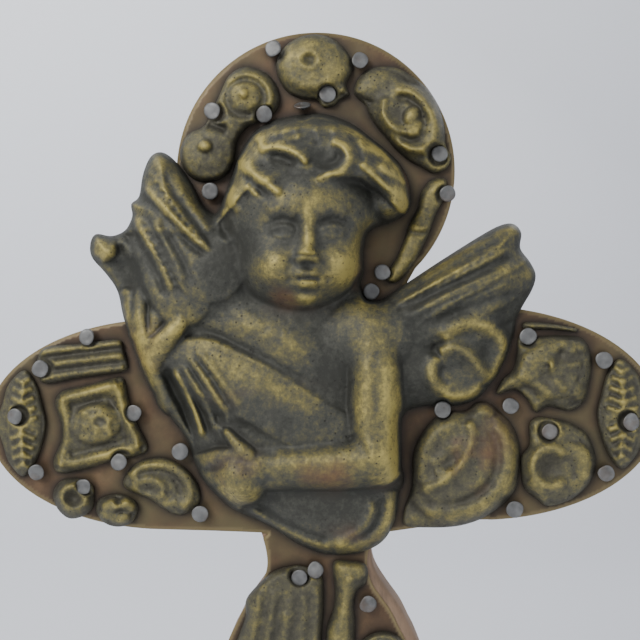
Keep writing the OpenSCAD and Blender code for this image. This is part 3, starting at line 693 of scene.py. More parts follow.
    def shell(self, name, height, rim_height, back_y, layers):
        """A closed mesh: the sculpted face, a wall round its outline and a flat back.

        Each layer has a name, its field of values, and its value at the rim and at the back; a rim
        value of None leaves the field as it is there.
        """
        keep = self.d > 0.3 * self.step
        cells = keep[:-1, :-1] & keep[1:, :-1] & keep[1:, 1:] & keep[:-1, 1:]
        number = np.arange(self.x.size).reshape(self.x.shape)
        corners = (number[:-1, :-1], number[1:, :-1], number[1:, 1:], number[:-1, 1:])
        quads = np.stack([corner[cells] for corner in corners], 1)
        sides = np.concatenate([quads[:, [i, (i + 1) % 4]] for i in range(4)])
        known = set(map(tuple, sides.tolist()))
        runs = chains([e for e in map(tuple, sides.tolist()) if (e[1], e[0]) not in known])
        rim_points = sorted({p for run in runs for p in run})
        x, z, h = self.x.ravel().copy(), self.z.ravel().copy(), height.ravel().copy()
        x[rim_points] = self.near_x.ravel()[rim_points]
        z[rim_points] = self.near_z.ravel()[rim_points]
        h[rim_points] = rim_height
        used = np.unique(quads)
        renumber = np.full(self.x.size, -1)
        renumber[used] = np.arange(len(used))
        points = [on_front(*p) for p in zip(x[used], z[used], h[used])]
        faces = renumber[quads].tolist()
        foot = {}
        for p in rim_points:
            foot[p] = len(points)
            points.append((x[p] * MM, back_y, CROSS_Z + z[p] * MM))
        for run in runs:
            for a, b in zip(run, run[1:] + run[:1]):
                faces.append([renumber[b], renumber[a], foot[a], foot[b]])
            faces.append([foot[p] for p in reversed(run)])
        mesh = bpy.data.meshes.new(name)
        mesh.from_pydata(points, [], faces)
        for key, field, at_rim, at_back in layers:
            value = field.ravel().copy()
            if at_rim is not None:
                value[rim_points] = at_rim
            value = np.concatenate([value[used], np.full(len(foot), at_back)])
            mesh.attributes.new(key, "FLOAT", "POINT").data.foreach_set("value", value.astype(np.float32))
        return mesh

    def build(self, name, material, gain=1.0, shift=0.0):
        """The casting as a piece, its wear and its copper-red kept as layers for the material."""
        layers = (
            ("wear", self.wear(gain, shift), None, BACK_WEAR),
            ("red", np.clip(self.red, 0, 1), None, BACK_WEAR),
        )
        mesh = self.shell(name, self.h, self.rim * RIM_SHARE, FACE_Y, layers)
        return finish_piece(name, mesh, material, "cross", [self.node])


def finish_piece(name, mesh, material, body, nodes, smooth=True):
    """Links a mesh as a piece of the object, in place of its CAD nodes."""
    mesh.validate()
    mesh.polygons.foreach_set("use_smooth", [smooth] * len(mesh.polygons))
    mesh.materials.append(material)
    piece = bpy.data.objects.new(name, mesh)
    bpy.context.scene.collection.objects.link(piece)
    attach(piece, body)
    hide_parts(*nodes)
    return piece


# ---------- the cherub ----------


def cherub_wings(r):
    """Two rows of long feathers on each wing, with barbs cut across them."""
    # left wing: two broad feathers lying close together over a raised ground
    r.tube([(-79, 128), (-72, 113), (-62, 97), (-54, 80)], [10, 15, 18, 19], [10, 13, 16, 18], 5, blend=5)
    r.tube([(-90, 107), (-82, 93), (-73, 78), (-68, 64)], [7, 13, 16, 15], [9, 12, 15, 16], 5, blend=6)
    upper_edge = [(-89, 121), (-81, 113), (-72, 104), (-63, 95), (-53, 87)]
    lower_edge = [(-93, 106), (-89, 97), (-82, 86), (-77, 76), (-73, 66)]
    r.ridge(upper_edge, 1.7, 2.6, 0.1)
    r.ridge([(x - 1.6, z - 3.2) for x, z in upper_edge], 1.7, -2.0, 0.1)
    r.ridge(lower_edge, 1.7, 2.4, 0.1)
    r.ridge([(x - 3.2, z - 1.8) for x, z in lower_edge], 2.0, -2.2, 0.1)
    r.ridge([(-78, 130), (-73, 118), (-65, 107), (-57, 97), (-51, 86)], 1.4, -1.3)
    r.ridge([(-72, 128), (-67, 117), (-60, 106), (-54, 96)], 1.6, 1.3)
    r.ridge([(-84, 104), (-77, 92), (-71, 80), (-67, 68)], 1.4, 1.4)
    r.ridge([(-80, 105), (-74, 94), (-67, 82), (-63, 70)], 1.3, -1.1)
    for i in range(9):
        x, z = -86 + 3.0 * i, 128 - 3.9 * i
        r.ridge([(x - 1, z), (x + 3, z - 3), (x + 6, z - 8)], 0.9, 1.1, 0.3)
        r.ridge([(x + 0.5, z - 2), (x + 4, z - 5), (x + 6.5, z - 10)], 0.8, -0.8, 0.3)
    for i in range(9):
        x, z = -91 + 2.2 * i, 104 - 4.0 * i
        r.ridge([(x, z), (x + 4, z - 2.5), (x + 8, z - 7)], 0.9, 1.1, 0.3)
        r.ridge([(x + 0.5, z - 2), (x + 4.5, z - 4.5), (x + 8, z - 9)], 0.8, -0.8, 0.3)
    # scrolled tip with the hollow beside it
    r.dome(-108, 89, 7.5, 7.5, 11, foot=4, blend=3)
    r.tube([(-106, 94), (-98, 92), (-94, 86)], 3.5, 8, blend=3)
    r.add(-103.5, 90, 2.0, 2.0, 1.6)
    r.ridge([(-112, 84), (-106, 76), (-101, 66), (-99, 56)], 2.8, 3.0)
    r.add(-92, 81, 9, 8, -3.2, turn=-50)
    # right wing: three feathers fanning up to the right, their surfaces almost level
    r.tube([(36, 58), (58, 71), (78, 82), (96, 90)], [11, 14, 15, 11], [13, 14, 13, 10], 3.4, blend=5)
    r.tube([(46, 50), (66, 60), (86, 69), (101, 75)], [10, 12, 12, 9], [11, 12, 12, 9], 3.4, blend=5)
    r.tube([(52, 46), (72, 53), (86, 57), (97, 60)], [7, 8, 8, 7], [9, 9, 8, 7], 3.5, blend=4)
    valley = [(42, 57), (62, 67.5), (82, 77), (99, 86.5)]
    r.ridge(valley, 1.9, -2.2)
    r.ridge([(x - 1.5, z + 3.6) for x, z in valley], 1.6, 1.4)
    r.ridge([(x + 1, z - 4) for x, z in valley], 1.6, 1.3)
    r.ridge([(34, 62), (58, 79), (78, 90), (95, 98)], 1.6, 1.2)
    r.ridge([(56, 50), (72, 57), (88, 63), (100, 67)], 1.6, -1.5)
    for i in range(5):
        low = -6 + 2.6 * i
        r.ridge([(46, 67 + low), (62, 76 + low), (80, 86 + low), (94, 93 + 0.7 * low)], 0.8, 0.8, 0.2)
    for i in range(4):
        low = -5 + 2.6 * i
        r.ridge([(54, 58 + low), (70, 65 + low), (86, 72 + low), (100, 77 + 0.7 * low)], 0.8, 0.8, 0.2)
    for i in range(12):
        x, z = 40 + 4.4 * i, 60 + 2.5 * i
        r.ridge([(x - 3, z - 3), (x + 1, z + 1), (x + 7, z + 6)], 0.9, 0.9, 0.3)
        r.ridge([(x - 1, z - 4), (x + 3, z), (x + 9, z + 5)], 0.8, -0.6, 0.3)
        r.ridge([(x + 8, z - 12), (x + 12, z - 8), (x + 17, z - 4)], 0.9, 0.9, 0.3)


def cherub_rings(r):
    """The double ring scroll below the right wing."""
    r.tube([(48, 42), (48, 26), (51, 14)], 9, 9, 4, blend=4)
    r.dome(79, 36, 18, 17, 9, foot=4, blend=4)
    r.dome(68, 26, 17, 15, 9, foot=4, blend=4)
    r.ridge([(61, 41), (68, 48), (79, 50.5), (89, 47), (93, 38), (91, 28), (85, 20)], 2.9, 3.6, 0.08)
    r.ridge([(60, 36), (57, 28), (59, 19), (67, 14), (77, 15), (83, 21)], 2.7, 3.4, 0.08)
    r.ridge([(60, 36), (68, 39), (76, 35), (82, 27), (84, 20)], 2.6, 3.0, 0.06)
    r.add(84, 38, 6.5, 6.5, -4.2, turn=-30)
    r.add(69, 27, 8.0, 6.5, -4.8, turn=-25)
    r.ridge([(64, 31), (62, 25), (66, 20)], 1.4, -1.2)


def cherub_body(r):
    """Chest, drapery with its fan of folds, the hanging hem and the background of the casting."""
    r.h += 7 * smooth_step(r.d, 0, 16)
    r.tube([(-34, 62), (-6, 55), (20, 54)], 13, 17, 8, blend=6)
    r.dome(-14, 34, 58, 42, 22, foot=6, blend=6, power=0.7)
    r.dome(-10, 0, 54, 32, 19, foot=6, blend=6, power=0.7)
    r.add(-38, 52, 14, 8, 3.4, turn=-15)
    r.add(-14, 42, 18, 11, 3.2, turn=-20)
    r.add(4, 46, 10, 14, -2.0)
    # drapery: one smooth swelling under its upper edge
    r.dome(-52, 58, 24, 18, 16, foot=8, blend=8, power=0.7)
    r.tube([(-40, -3), (-20, -9), (6, -8)], [10, 10, 9], [19, 21, 21], 4, blend=5)
    r.tube([(-70, 36), (-55, 29), (-31, 16), (-6, 1), (8, -4)], [9, 14, 15, 14, 12], [19, 23, 25, 23.5, 21],
           3.2, blend=3)
    r.ridge([(-68, 48), (-50, 41), (-25, 29), (0, 14.5), (14, 8)], 1.8, 0.9)
    r.ridge([(-66, 51.5), (-49, 44.5), (-24, 32.5), (2, 17.5)], 1.6, -1.0)
    folds = [
        ([(-73, 28), (-67, 18), (-61, 5), (-57, -8)], 1.6, 4.6),
        ([(-69, 31), (-61, 18), (-54, 5), (-50, -5)], 1.7, 2.0),
        ([(-65, 35), (-56, 22), (-48, 9), (-43, 0)], 1.8, 1.7),
        ([(-62, 38), (-52, 27), (-44, 16), (-37, 7)], 1.9, 1.3),
    ]
    for points, width, amount in folds:
        r.ridge(points, width, amount, 0.15)
    for (a, _, _), (b, _, _) in zip(folds, folds[1:]):
        between = [((p[0] + q[0]) / 2, (p[1] + q[1]) / 2) for p, q in zip(a, b)]
        r.ridge(between, 1.6, -1.8, 0.15)
    # dark hollow between the forearm's edge and the first fold
    r.add(-73, 9, 5, 15, -4.5, turn=28)
    r.add(-24, -3, 5.0, 6.0, 1.8)
    # hanging hem below the arm, with its thickened border
    r.dome(3, -36, 38, 27, 13, foot=4, blend=4, power=0.7)
    r.ridge([(27, -36), (27, -45), (20, -54), (8, -60), (0, -62)], 2.2, 2.6)
    r.ridge([(38.5, -30), (38.5, -44), (33, -54.5), (22, -60.5), (8, -63)], 4.2, 3.6, 0.06)
    r.ridge([(32, -34), (32, -44), (26, -53), (14, -59.5)], 1.8, -1.8)
    r.ridge([(-38, -39), (-25, -48.5), (-11, -56.5), (4, -60.5)], 2.2, 3.2, 0.08)
    r.ridge([(-34, -38), (-22, -46), (-8, -53.5), (6, -57)], 1.6, -1.4, 0.08)


def cherub_arms(r):
    """The raised hand at the left and the bent arm across the body."""
    # raised forearm, then the hand with its fingers close together
    r.tube([(-94, 48), (-92, 36), (-87, 19), (-79, 4), (-69, -9)], [8.5, 10, 10.5, 10, 7],
           [14, 17, 17, 15, 11], 5, blend=4)
    r.tube([(-88.5, 60), (-88, 48), (-86, 36)], [11, 13, 13], [12, 17, 19], 6, blend=4)
    fingers = [
        ([(-95, 42), (-97, 54), (-96, 65)], [4.8, 4.6, 4.0], [17, 16, 11]),
        ([(-88.5, 42), (-89.5, 56), (-88.5, 67)], [4.8, 4.6, 4.0], [20, 18.5, 13]),
        ([(-81.5, 42), (-82, 54), (-80.5, 64)], [4.8, 4.6, 4.0], [20, 19, 14]),
    ]
    for points, radius, top in fingers:
        r.tube(points, radius, top, 4.0, blend=1.6)
    for points in ([(-92.6, 64), (-93.2, 54), (-91.5, 44)], [(-85, 63), (-85.6, 54), (-84.5, 46)]):
        r.ridge(points, 1.0, -1.3, 0.2)
    r.tube([(-84, 32), (-77, 42), (-69, 51.5)], [6.6, 6.4, 4.8], [21, 24, 23.5], 7, blend=2.5)
    r.ridge([(-85.5, 43), (-80.5, 47), (-75, 52)], 1.1, -1.6, 0.25)
    # lowered arm: shoulder, elbow, forearm
    r.dome(25, 44, 24, 20, 25, foot=8, blend=8)
    r.tube([(28, 46), (29, 28), (29, 6), (29.5, -14)], [12, 14, 14.5, 14], [24, 30, 30, 30],
           [14, 19, 21, 22], blend=5)
    r.tube([(30, -17), (10, -20), (-12, -21), (-28, -22)], [14, 13, 12, 11.5], [30, 29, 28, 26],
           [20, 18, 17, 15], blend=4)
    r.dome(29, -14, 14.5, 16, 30, foot=12, blend=4, power=0.4)
    r.ridge([(29.5, 40), (29.5, 20), (29.5, 2), (30, -10)], 3.4, -1.4)
    r.ridge([(-22, -12), (-25, -21), (-24, -30)], 2.2, -0.9)
    r.ridge([(16, -5), (21, -9), (25, -16)], 2.0, -1.2)
    # hand resting on the drapery, its fingers spread to the left over the edge
    r.dome(-38, -26, 15, 14.5, 28, foot=12, turn=15, blend=4)
    r.dome(-48, -27, 13, 13, 18, foot=8, blend=4)
    hand = [
        ([(-40, -16), (-50, -17), (-60, -19)], [5.2, 5.0, 4.2], [25, 20, 13]),
        ([(-42, -24), (-52, -26), (-60, -28)], [5.0, 4.8, 4.0], [24, 18, 11]),
        ([(-42, -31), (-50, -34), (-55, -37)], [5.0, 4.6, 3.8], [22, 16, 10]),
        ([(-39, -36), (-43, -41), (-44, -45)], [5.0, 4.6, 3.8], [19, 14, 9]),
    ]
    for points, radius, top in hand:
        r.tube(points, radius, top, 5.0, blend=1.8)
    for x, z, far_x, far_z in ((-46, -21, -58, -23.5), (-46, -29, -56, -32.5), (-44, -35, -50, -40)):
        r.ridge([(x, z), ((x + far_x) / 2, (z + far_z) / 2), (far_x, far_z)], 1.0, -1.2, 0.2)
    r.ridge([(-42, -17), (-34, -24), (-30, -33)], 2.4, -0.7)
    r.tube([(-35, -15), (-40, -10), (-45, -4)], [4.4, 3.6, 2.4], [25.5, 25, 23], 5, blend=4)


def cherub_face(r):
    """A calm child's face of plain proportions, turned a little to the right."""
    mid = -4.5
    eye_z = 98.0
    nose_z = 85.0
    mouth_z = 73.5
    chin_z = 62.5
    # skull, jaw and full cheeks
    r.dome(-8, 107, 40, 47, 40, foot=8, blend=5, power=0.5)
    r.dome(-10, 81, 32, 25, 39, foot=8, blend=6, power=0.55)
    r.add(mid - 1, 115, 20, 9, 1.8)
    for side in (-1, 1):
        eye = mid + side * 12.6
        # brow, socket, eyeball and lids
        r.ridge([(mid + side * 5, 104.5), (eye, 108.5), (eye + side * 8, 105)], 3.6, 1.2)
        r.add(eye, eye_z + 0.6, 8.2, 5.8, -5.0)
        r.add(mid + side * 5.6, 99.5, 3.0, 5.2, -1.2)
        r.add(eye, eye_z - 0.3, 5.6, 4.0, 4.4)
        lid = [(eye - 6.8, eye_z - 1.4), (eye - 3, eye_z + 1.5), (eye + 2.6, eye_z + 1.6),
               (eye + 6.8, eye_z - 1.2)]
        low = [(eye - 6.4, eye_z - 1.6), (eye - 2, eye_z - 3.7), (eye + 2.6, eye_z - 3.6),
               (eye + 6.4, eye_z - 1.5)]
        r.ridge(lid, 1.1, 1.0, 0.15)
        r.ridge([(x, z + 3.0) for x, z in lid], 1.2, -0.8, 0.25)
        r.ridge(low, 1.0, 0.8, 0.2)
        # cheeks and the fold beside the nose
        r.add(mid + side * 18.5, 80, 10.0, 10.0, 6.0)
        r.ridge([(mid + side * 6.4, 84), (mid + side * 9.6, 79), (mid + side * 10.6, 75)], 2.0, -1.1, 0.3)
        r.add(mid + side * 9.4, mouth_z - 0.6, 1.8, 1.8, -1.4)
        # wings of the nose
        r.add(mid + side * 3.9, nose_z - 1.6, 2.6, 2.5, 3.0)
        r.add(mid + side * 2.2, nose_z - 4.0, 1.3, 1.0, -1.0)
    # bridge and tip of the nose
    r.ridge([(mid + 0.3, 108), (mid + 0.2, 100), (mid + 0.1, 92), (mid, nose_z)], [4.2, 3.4, 3.4, 3.8],
            [0.3, 1.8, 4.4, 6.6], 0.05)
    r.add(mid, nose_z + 0.2, 3.4, 3.2, 4.2)
    r.add(mid, nose_z - 5.0, 5.0, 1.6, -0.5)
    # lips
    r.ridge([(mid, nose_z - 5), (mid, mouth_z + 3.8)], 1.4, -0.8, 0.2)
    r.add(mid, mouth_z, 9.0, 6.0, 2.2)
    r.ridge([(mid - 7.6, mouth_z + 0.2), (mid - 2.8, mouth_z + 2.5), (mid, mouth_z + 1.9),
             (mid + 2.8, mouth_z + 2.5),
             (mid + 7.6, mouth_z + 0.2)], 1.7, 1.8, 0.25)
    r.ridge([(mid - 5.6, mouth_z - 2.4), (mid, mouth_z - 3.2), (mid + 5.6, mouth_z - 2.4)], 2.0, 2.4, 0.3)
    r.ridge([(mid - 7.6, mouth_z - 0.2), (mid - 2.6, mouth_z - 0.4), (mid, mouth_z + 0.1),
             (mid + 2.6, mouth_z - 0.4),
             (mid + 7.6, mouth_z - 0.2)], 0.9, -2.2, 0.15)
    r.add(mid, mouth_z - 6.8, 5.2, 2.0, -1.8)
    r.add(mid - 0.6, chin_z - 0.5, 6.6, 5.0, 3.6)
    # ear
    r.dome(-46, 98, 6.0, 9.5, 20, foot=9, turn=8, blend=4)
    r.ring(-46, 99, 4.0, 6.6, 1.6, 1.1, 8)
    r.add(-45.5, 97.5, 2.4, 4.2, -1.5)


HAIRLINE = [
    (-54, 96), (-47, 104), (-40, 112), (-34, 119), (-25, 121), (-14, 127), (-4, 127.5), (6, 124),
    (14, 123), (22, 122), (30, 116), (38, 108), (46, 101), (54, 96),
]


def lock(r, points, width, rise, shine=0.3):
    """A pointed lock of hair: a crest that is steep on its right-hand side, rubbed along its back."""
    widths = [0.7 * width, width, width, 0.8 * width, 0.35 * width]
    r.ridge(points, widths, rise, 0.08, lean=0.35)
    r.gild(points, 0.8 * width, shine)
    beside = []
    for (x, z), (nx, nz) in zip(points, points[1:]):
        out = 1.5 * width / math.hypot(nx - x, nz - z)
        beside.append(((x + nx) / 2 + (nz - z) * out, (z + nz) / 2 - (nx - x) * out))
    r.ridge(beside, 0.5 * width, -0.55 * rise, 0.25)


def cherub_hair(r):
    """Short swept hair: a smooth cap at the crown, then strands combed to pointed locks on the brow."""
    line_x, line_z = zip(*HAIRLINE)
    over = r.z - np.interp(r.x, line_x, line_z)
    reach = 1 - ((r.x + 2) / 52) ** 2 - ((r.z - 107) / 51) ** 2
    hair = 10 + 31 * np.sqrt(np.maximum(reach, 0))
    amount = smooth_step(over, -2.0, 2.5)
    r.h += (np.maximum(hair, np.minimum(r.h + 2.0, 43)) - r.h) * amount
    # tuft at the right of the brow, and the hair behind it
    r.dome(36, 115, 14, 13, 26, foot=8, turn=-30, blend=5)
    r.tube([(24, 132), (36, 124), (44, 112)], [8, 8, 6], [33, 29, 20], 9, blend=4)
    # the edge of the smooth cap
    cap = [(-46, 128), (-40, 139), (-31, 145.5), (-16, 148.5), (0, 149), (16, 146.5), (30, 141), (40, 132)]
    r.ridge(cap, 1.6, 1.5, 0.1)
    r.ridge([(x, z + 3) for x, z in cap], 1.4, -1.0, 0.1)
    # combed strands
    strands = [
        [(-34, 143), (-40, 133), (-43, 122), (-47, 110)],
        [(-27, 145), (-34, 137), (-38, 127), (-42, 117)],
        [(-20, 146), (-28, 142), (-35, 134)],
        [(-10, 147), (-18, 145), (-28, 140)],
        [(0, 147), (-6, 144), (-14, 141)],
        [(8, 147), (4, 144), (-3, 140)],
        [(16, 145), (21, 138), (22, 130)],
        [(22, 143), (28, 136), (36, 128), (45, 119)],
        [(14, 146), (25, 141), (36, 133)],
        [(28, 128), (36, 120), (44, 110)],
        [(25, 124), (32, 116), (40, 107)],
        [(-50, 108), (-48, 101), (-47, 95)],
    ]
    for points in strands:
        r.ridge(points, 1.5, -1.2, 0.2)
        r.ridge([(x + 2.0, z + 1.8) for x, z in points], 1.4, 1.0, 0.2)
    locks = [
        ([(-38, 131), (-34, 127.5), (-28, 123), (-23, 119), (-18, 115)], 3.0, 3.4, 0.42),
        ([(-30, 138), (-23, 139.5), (-15, 138.5), (-9, 135), (-4.5, 130)], 3.4, 3.6, 0.38),
        ([(-40, 138), (-39.5, 134), (-38.5, 130)], 2.6, 2.0, 0.34),
        ([(-46, 119), (-43, 113), (-40, 106)], 2.8, 2.2, 0.3),
        ([(-36, 120), (-33, 118), (-30, 114.5)], 2.2, 1.8, 0.28),
        ([(6, 142), (13, 139.5), (16, 133.5), (12.5, 127.5), (5, 125), (-1, 123)], 3.0, 3.6, 0.38),
        ([(21, 131), (27, 126), (33, 121), (39, 116), (44.5, 110)], 2.8, 3.4, 0.34),
        ([(31, 130), (38, 125), (45, 120)], 2.2, 2.2, 0.3),
        ([(20, 141), (28, 138), (35, 134.5)], 2.8, 1.8, 0.3),
        ([(-32, 145), (-30, 144), (-27, 142.5)], 3.0, 1.2, 0.3),
        ([(-18, 146), (-14, 145), (-8, 144)], 2.6, 1.0, 0.2),
    ]
    for points, width, rise, shine in locks:
        lock(r, points, width, rise, shine)
    # hollows under the locks on the brow
    hollows = [(-17, 130, 8, 5, -3.4), (3, 132, 6, 6, -3.4), (-27, 129, 5, 4, -1.6), (28, 116, 9, 5, -2.6),
               (18, 123, 5, 4, -1.6)]
    for x, z, rx, rz, depth in hollows:
        r.add(x, z, rx, rz, depth, turn=-20)


def make_cherub(material):
    r = Relief("cherub_relief", GRID["cherub"], base=4.0)
    cherub_wings(r)
    cherub_rings(r)
    cherub_body(r)
    cherub_arms(r)
    cherub_face(r)
    cherub_hair(r)
    for spot in ((14, -24, 26, 7, 0.8), (-38, -28, 14, 9, 1.0), (31, 12, 4, 26, 0.6), (-14, 64, 14, 6, 0.9),
                 (14, 73, 8, 9, 0.7), (-33, 20, 22, 9, 0.4), (24, -56, 14, 6, 0.5), (-88, 38, 8, 14, 0.5),
                 (-27, 105, 4, 5, 0.5), (46, 122, 6, 8, 0.6)):
        r.blush(*spot)
    # rubbed places
    for spot in ((-22, 80, 9, 9, 0.30), (13, 77, 8, 10, 0.36), (-8, 62, 10, 5, 0.34), (2, 114, 14, 5, 0.30),
                 (-26, 104, 5, 5, 0.34), (-25, 94, 4, 3, 0.25), (-34, 78, 6, 8, 0.2), (-33, 50, 14, 8, 0.22),
                 (-12, 38, 14, 7, 0.18), (-40, 26, 18, 9, 0.2), (-10, 14, 20, 6, 0.1), (22, 14, 7, 30, 0.4),
                 (37, 12, 6, 30, 0.44), (-4, -16, 34, 7, 0.24), (36, -46, 6, 16, 0.3), (14, -62, 16, 4, 0.34),
                 (-84, 42, 10, 12, 0.2), (-72, 50, 6, 6, 0.3), (60, 80, 20, 8, 0.14), (96, 78, 10, 10, 0.16)):
        r.rub(*spot)
    for points, width, amount in (
        ([(-4, 110), (-4, 98), (-4.5, 84)], 3.0, 0.34),
        ([(-12, 72), (-4.5, 71), (3, 72)], 2.4, 0.3),
        ([(-86, 122), (-76, 103), (-55, 88)], 2.6, 0.22),
        ([(-91, 106), (-82, 84), (-74, 70)], 2.6, 0.22),
        ([(-64, 42), (-48, 34), (-25, 22), (-4, 9)], 6.0, 0.16),
        ([(-72, 26), (-61, 5), (-57, -7)], 2.0, 0.3),
        ([(61, 41), (79, 50), (93, 38), (85, 20)], 3.6, 0.28),
        ([(57, 28), (67, 14), (80, 17)], 3.2, 0.26),
    ):
        r.gild(points, width, amount)
    # duller places
    for spot in (
        (-6, 153, 34, 6, -0.35), (-30, 148, 14, 6, -0.2), (28, 145, 12, 7, -0.2),
        (-4, 136, 44, 14, -0.15), (-43, 124, 7, 16, -0.28), (40, 120, 9, 14, -0.26),
        (6, 26, 12, 16, -0.3), (-38, 92, 10, 16, -0.2), (12, 99, 9, 8, -0.25), (-17, 99, 9, 7, -0.25),
        (2, -44, 26, 11, -0.26), (-73, 10, 8, 18, -0.35), (50, 28, 8, 26, -0.3), (-50, 78, 9, 22, -0.28),
        (-18, 4, 22, 8, -0.22), (-92, 80, 12, 12, -0.2), (26, 84, 6, 14, -0.2), (46, 54, 12, 8, -0.2),
        (-58, -24, 10, 10, -0.16),
    ):
        r.rub(*spot)
    r.settle(1.8, press=12.0)
    r.build("cherub_casting", material, 0.85, 0.0)


# ---------- the smaller castings ----------


def shape_top_boss(r):
    r.dome(-2, 179, 21, 18, 9.5, foot=4, turn=-5, blend=3, power=0.6)
    r.ring(-2, 180, 13, 11, 3.5, 0.8)
    r.add(-4, 183, 3.2, 2.6, -2.4)
    r.ring(-4, 183, 4.4, 3.8, 1.6, 0.9)
    r.ridge([(12, 168), (15, 167), (16, 164)], 1.6, 2.0)
    r.ridge([(-18, 172), (-8, 166), (4, 166), (12, 171)], 1.6, -1.0)
    r.rub(-8, 186, 9, 6, 0.25)
    r.rub(4, 176, 8, 5, 0.15)


def shape_twin_boss(r):
    r.dome(-36, 164, 17, 15.5, 7.5, foot=3.6, blend=3)
    r.ring(-36, 164, 13, 12.2, 1.8, 1.8)
    r.ring(-36, 164, 9.8, 9.2, 1.3, -1.3)
    r.dome(-36, 164.5, 7.6, 7.2, 9.5, foot=6, blend=2.5)
    r.dome(-37, 166, 2.8, 2.8, 12, foot=8, blend=2)
    r.dome(-55, 137, 15, 14.5, 8.5, foot=3.6, blend=3, power=0.6)
    r.ring(-55, 136, 13, 12.4, 1.6, 1.2)
    r.dome(-56.5, 140, 3.6, 3.2, 12, foot=8, blend=3)
    r.tube([(-48, 154), (-43, 148), (-39, 148)], 6, 7, blend=3)
    r.ridge([(-56, 151), (-50, 149.5), (-45, 148)], 1.9, -3.4)
    r.ridge([(-53, 154), (-46, 152), (-40, 147), (-42, 141)], 1.5, 1.4)
    r.rub(-36, 166, 6, 6, 0.2)
    r.rub(-57, 141, 5, 4, 0.25)
    r.blush(-48, 150, 8, 8, 0.3)


def shape_shell_scroll(r):
    r.dome(47, 150, 22, 19, 11, foot=4, turn=-38, blend=3, power=0.6)
    r.dome(31, 169, 14, 8, 7, foot=4, turn=-8, blend=3)
    r.ridge([(36, 167), (46, 167), (55, 159), (59, 149), (56, 139), (47, 136.5), (38, 142)], 2.2, 2.6, 0.1)
    r.ridge([(38, 163), (46, 162), (52, 155), (53, 147), (47, 142), (39, 146)], 1.6, -2.4, 0.1)
    r.ridge([(34, 165), (33, 156), (37, 149), (45, 145), (53, 145)], 1.8, 2.4, 0.1)
    r.add(42, 156, 5.5, 6, -2.6, turn=-30)
    r.dome(47, 154, 3.8, 5.0, 13.5, foot=9, turn=-35, blend=2.5)
    r.ridge([(44, 147), (50, 148), (57, 147)], 2.0, 1.6)
    r.ridge([(29, 149), (38, 139), (50, 134), (58, 135)], 1.7, -1.6, 0.1)
    r.ridge([(34, 145), (44, 138), (56, 137)], 2.2, 1.6, 0.1)
    r.dome(59, 130, 7.5, 5.5, 6.5, foot=4, blend=3)
    r.rub(49, 148, 6, 4, 0.28)
    r.rub(40, 165, 7, 5, 0.18)
    r.rub(52, 137, 8, 4, 0.14)


def shape_strap(r):
    middle = [(60, 119), (55, 108), (50.5, 97), (44, 84), (38, 74)]
    r.tube(middle, [6, 6.4, 6.4, 6, 4], [6.5, 7.4, 7.4, 7, 5.6], 2.6, blend=2)
    r.ridge(middle, 2.2, -0.5)
    r.ridge([(45, 100), (51, 98), (56.5, 98.5)], 1.2, 1.3, 0.05)
    r.ridge([(44.5, 97), (50.5, 95.2), (55.5, 95.8)], 1.1, -1.2, 0.05)
    for i in range(5):
        x, z = 58.5 - 1.1 * i, 116.5 - 2.8 * i
        r.ridge([(x - 4, z + 1.6), (x, z), (x + 4, z - 0.8)], 0.9, 0.5)


def shape_fluted_bar(r):
    for z, rise in ((39.2, 3.6), (32, 3.4), (25.5, 2.4)):
        r.ridge([(-142, z - 3), (-120, z), (-97, z + 2.6)], 2.0, rise, 0.02)
        r.ridge([(-142, z - 6.2), (-120, z - 3.4), (-97, z - 0.8)], 1.3, -0.8, 0.02)


def shape_plaque(r):
    r.dome(-112, 0, 26, 24, 5.5, foot=3.6, blend=3, power=0.8)
    rails = [
        [(-131, 13), (-116, 16.5), (-101, 21)],
        [(-101, 21), (-97.5, 7), (-89, -12)],
        [(-89, -12), (-106, -16.5), (-132, -22)],
        [(-131, 13), (-128, -2), (-132, -22)],
    ]
    for points in rails:
        r.ridge(points, 2.6, 3.4, 0.03)
    inner = [
        [(-126, 8.5), (-115, 11), (-104, 14)],
        [(-104, 14), (-102, 4), (-96, -8)],
        [(-96, -8), (-108, -11.5), (-126, -16)],
    ]
    for points in inner:
        r.ridge(points, 1.7, -1.4, 0.05)
    # a worn knot of petals in the middle
    r.dome(-112, 0, 13, 10, 8.5, foot=5, turn=12, blend=3)
    for i in range(6):
        a = math.radians(20 + 60 * i)
        r.add(-111 + 7.5 * math.cos(a), 0.5 + 5.6 * math.sin(a), 3.0, 2.4, 1.6, turn=math.degrees(a))
    r.ring(-110, 1, 4.0, 3.4, 1.5, 1.4)
    r.ridge([(-122, 4), (-113, 8), (-103, 6)], 1.7, 1.2)
    r.ridge([(-122, -6), (-113, -8), (-102, -5)], 1.7, 1.2)
    r.dome(-92, 6, 5, 8, 4.0, foot=3, blend=1.5)
    r.rub(-110, 18, 14, 3, 0.16)
    r.rub(-108, -15, 16, 3, 0.16)


def shape_c_scroll(r):
    r.dome(-82, -32, 20, 12, 5, foot=3, turn=-16, blend=2, power=0.8)
    r.ridge([(-96, -27), (-90, -21.5), (-80, -20), (-70, -22.5), (-63.5, -30), (-64, -38), (-70, -43)],
            2.8, 3.0, 0.06)
    r.ridge([(-92, -27), (-85, -24), (-76, -24.5), (-69.5, -30), (-69, -36)], 1.6, -1.4, 0.1)
    r.ridge([(-83, -41), (-76, -41), (-70, -39)], 2.0, 1.6, 0.1)
    r.ring(-85, -33, 7.4, 5.0, 2.0, 2.0, -8)
    r.add(-85, -33, 3.6, 2.4, -1.6, turn=-8)
    r.rub(-80, -20, 12, 3, 0.14)


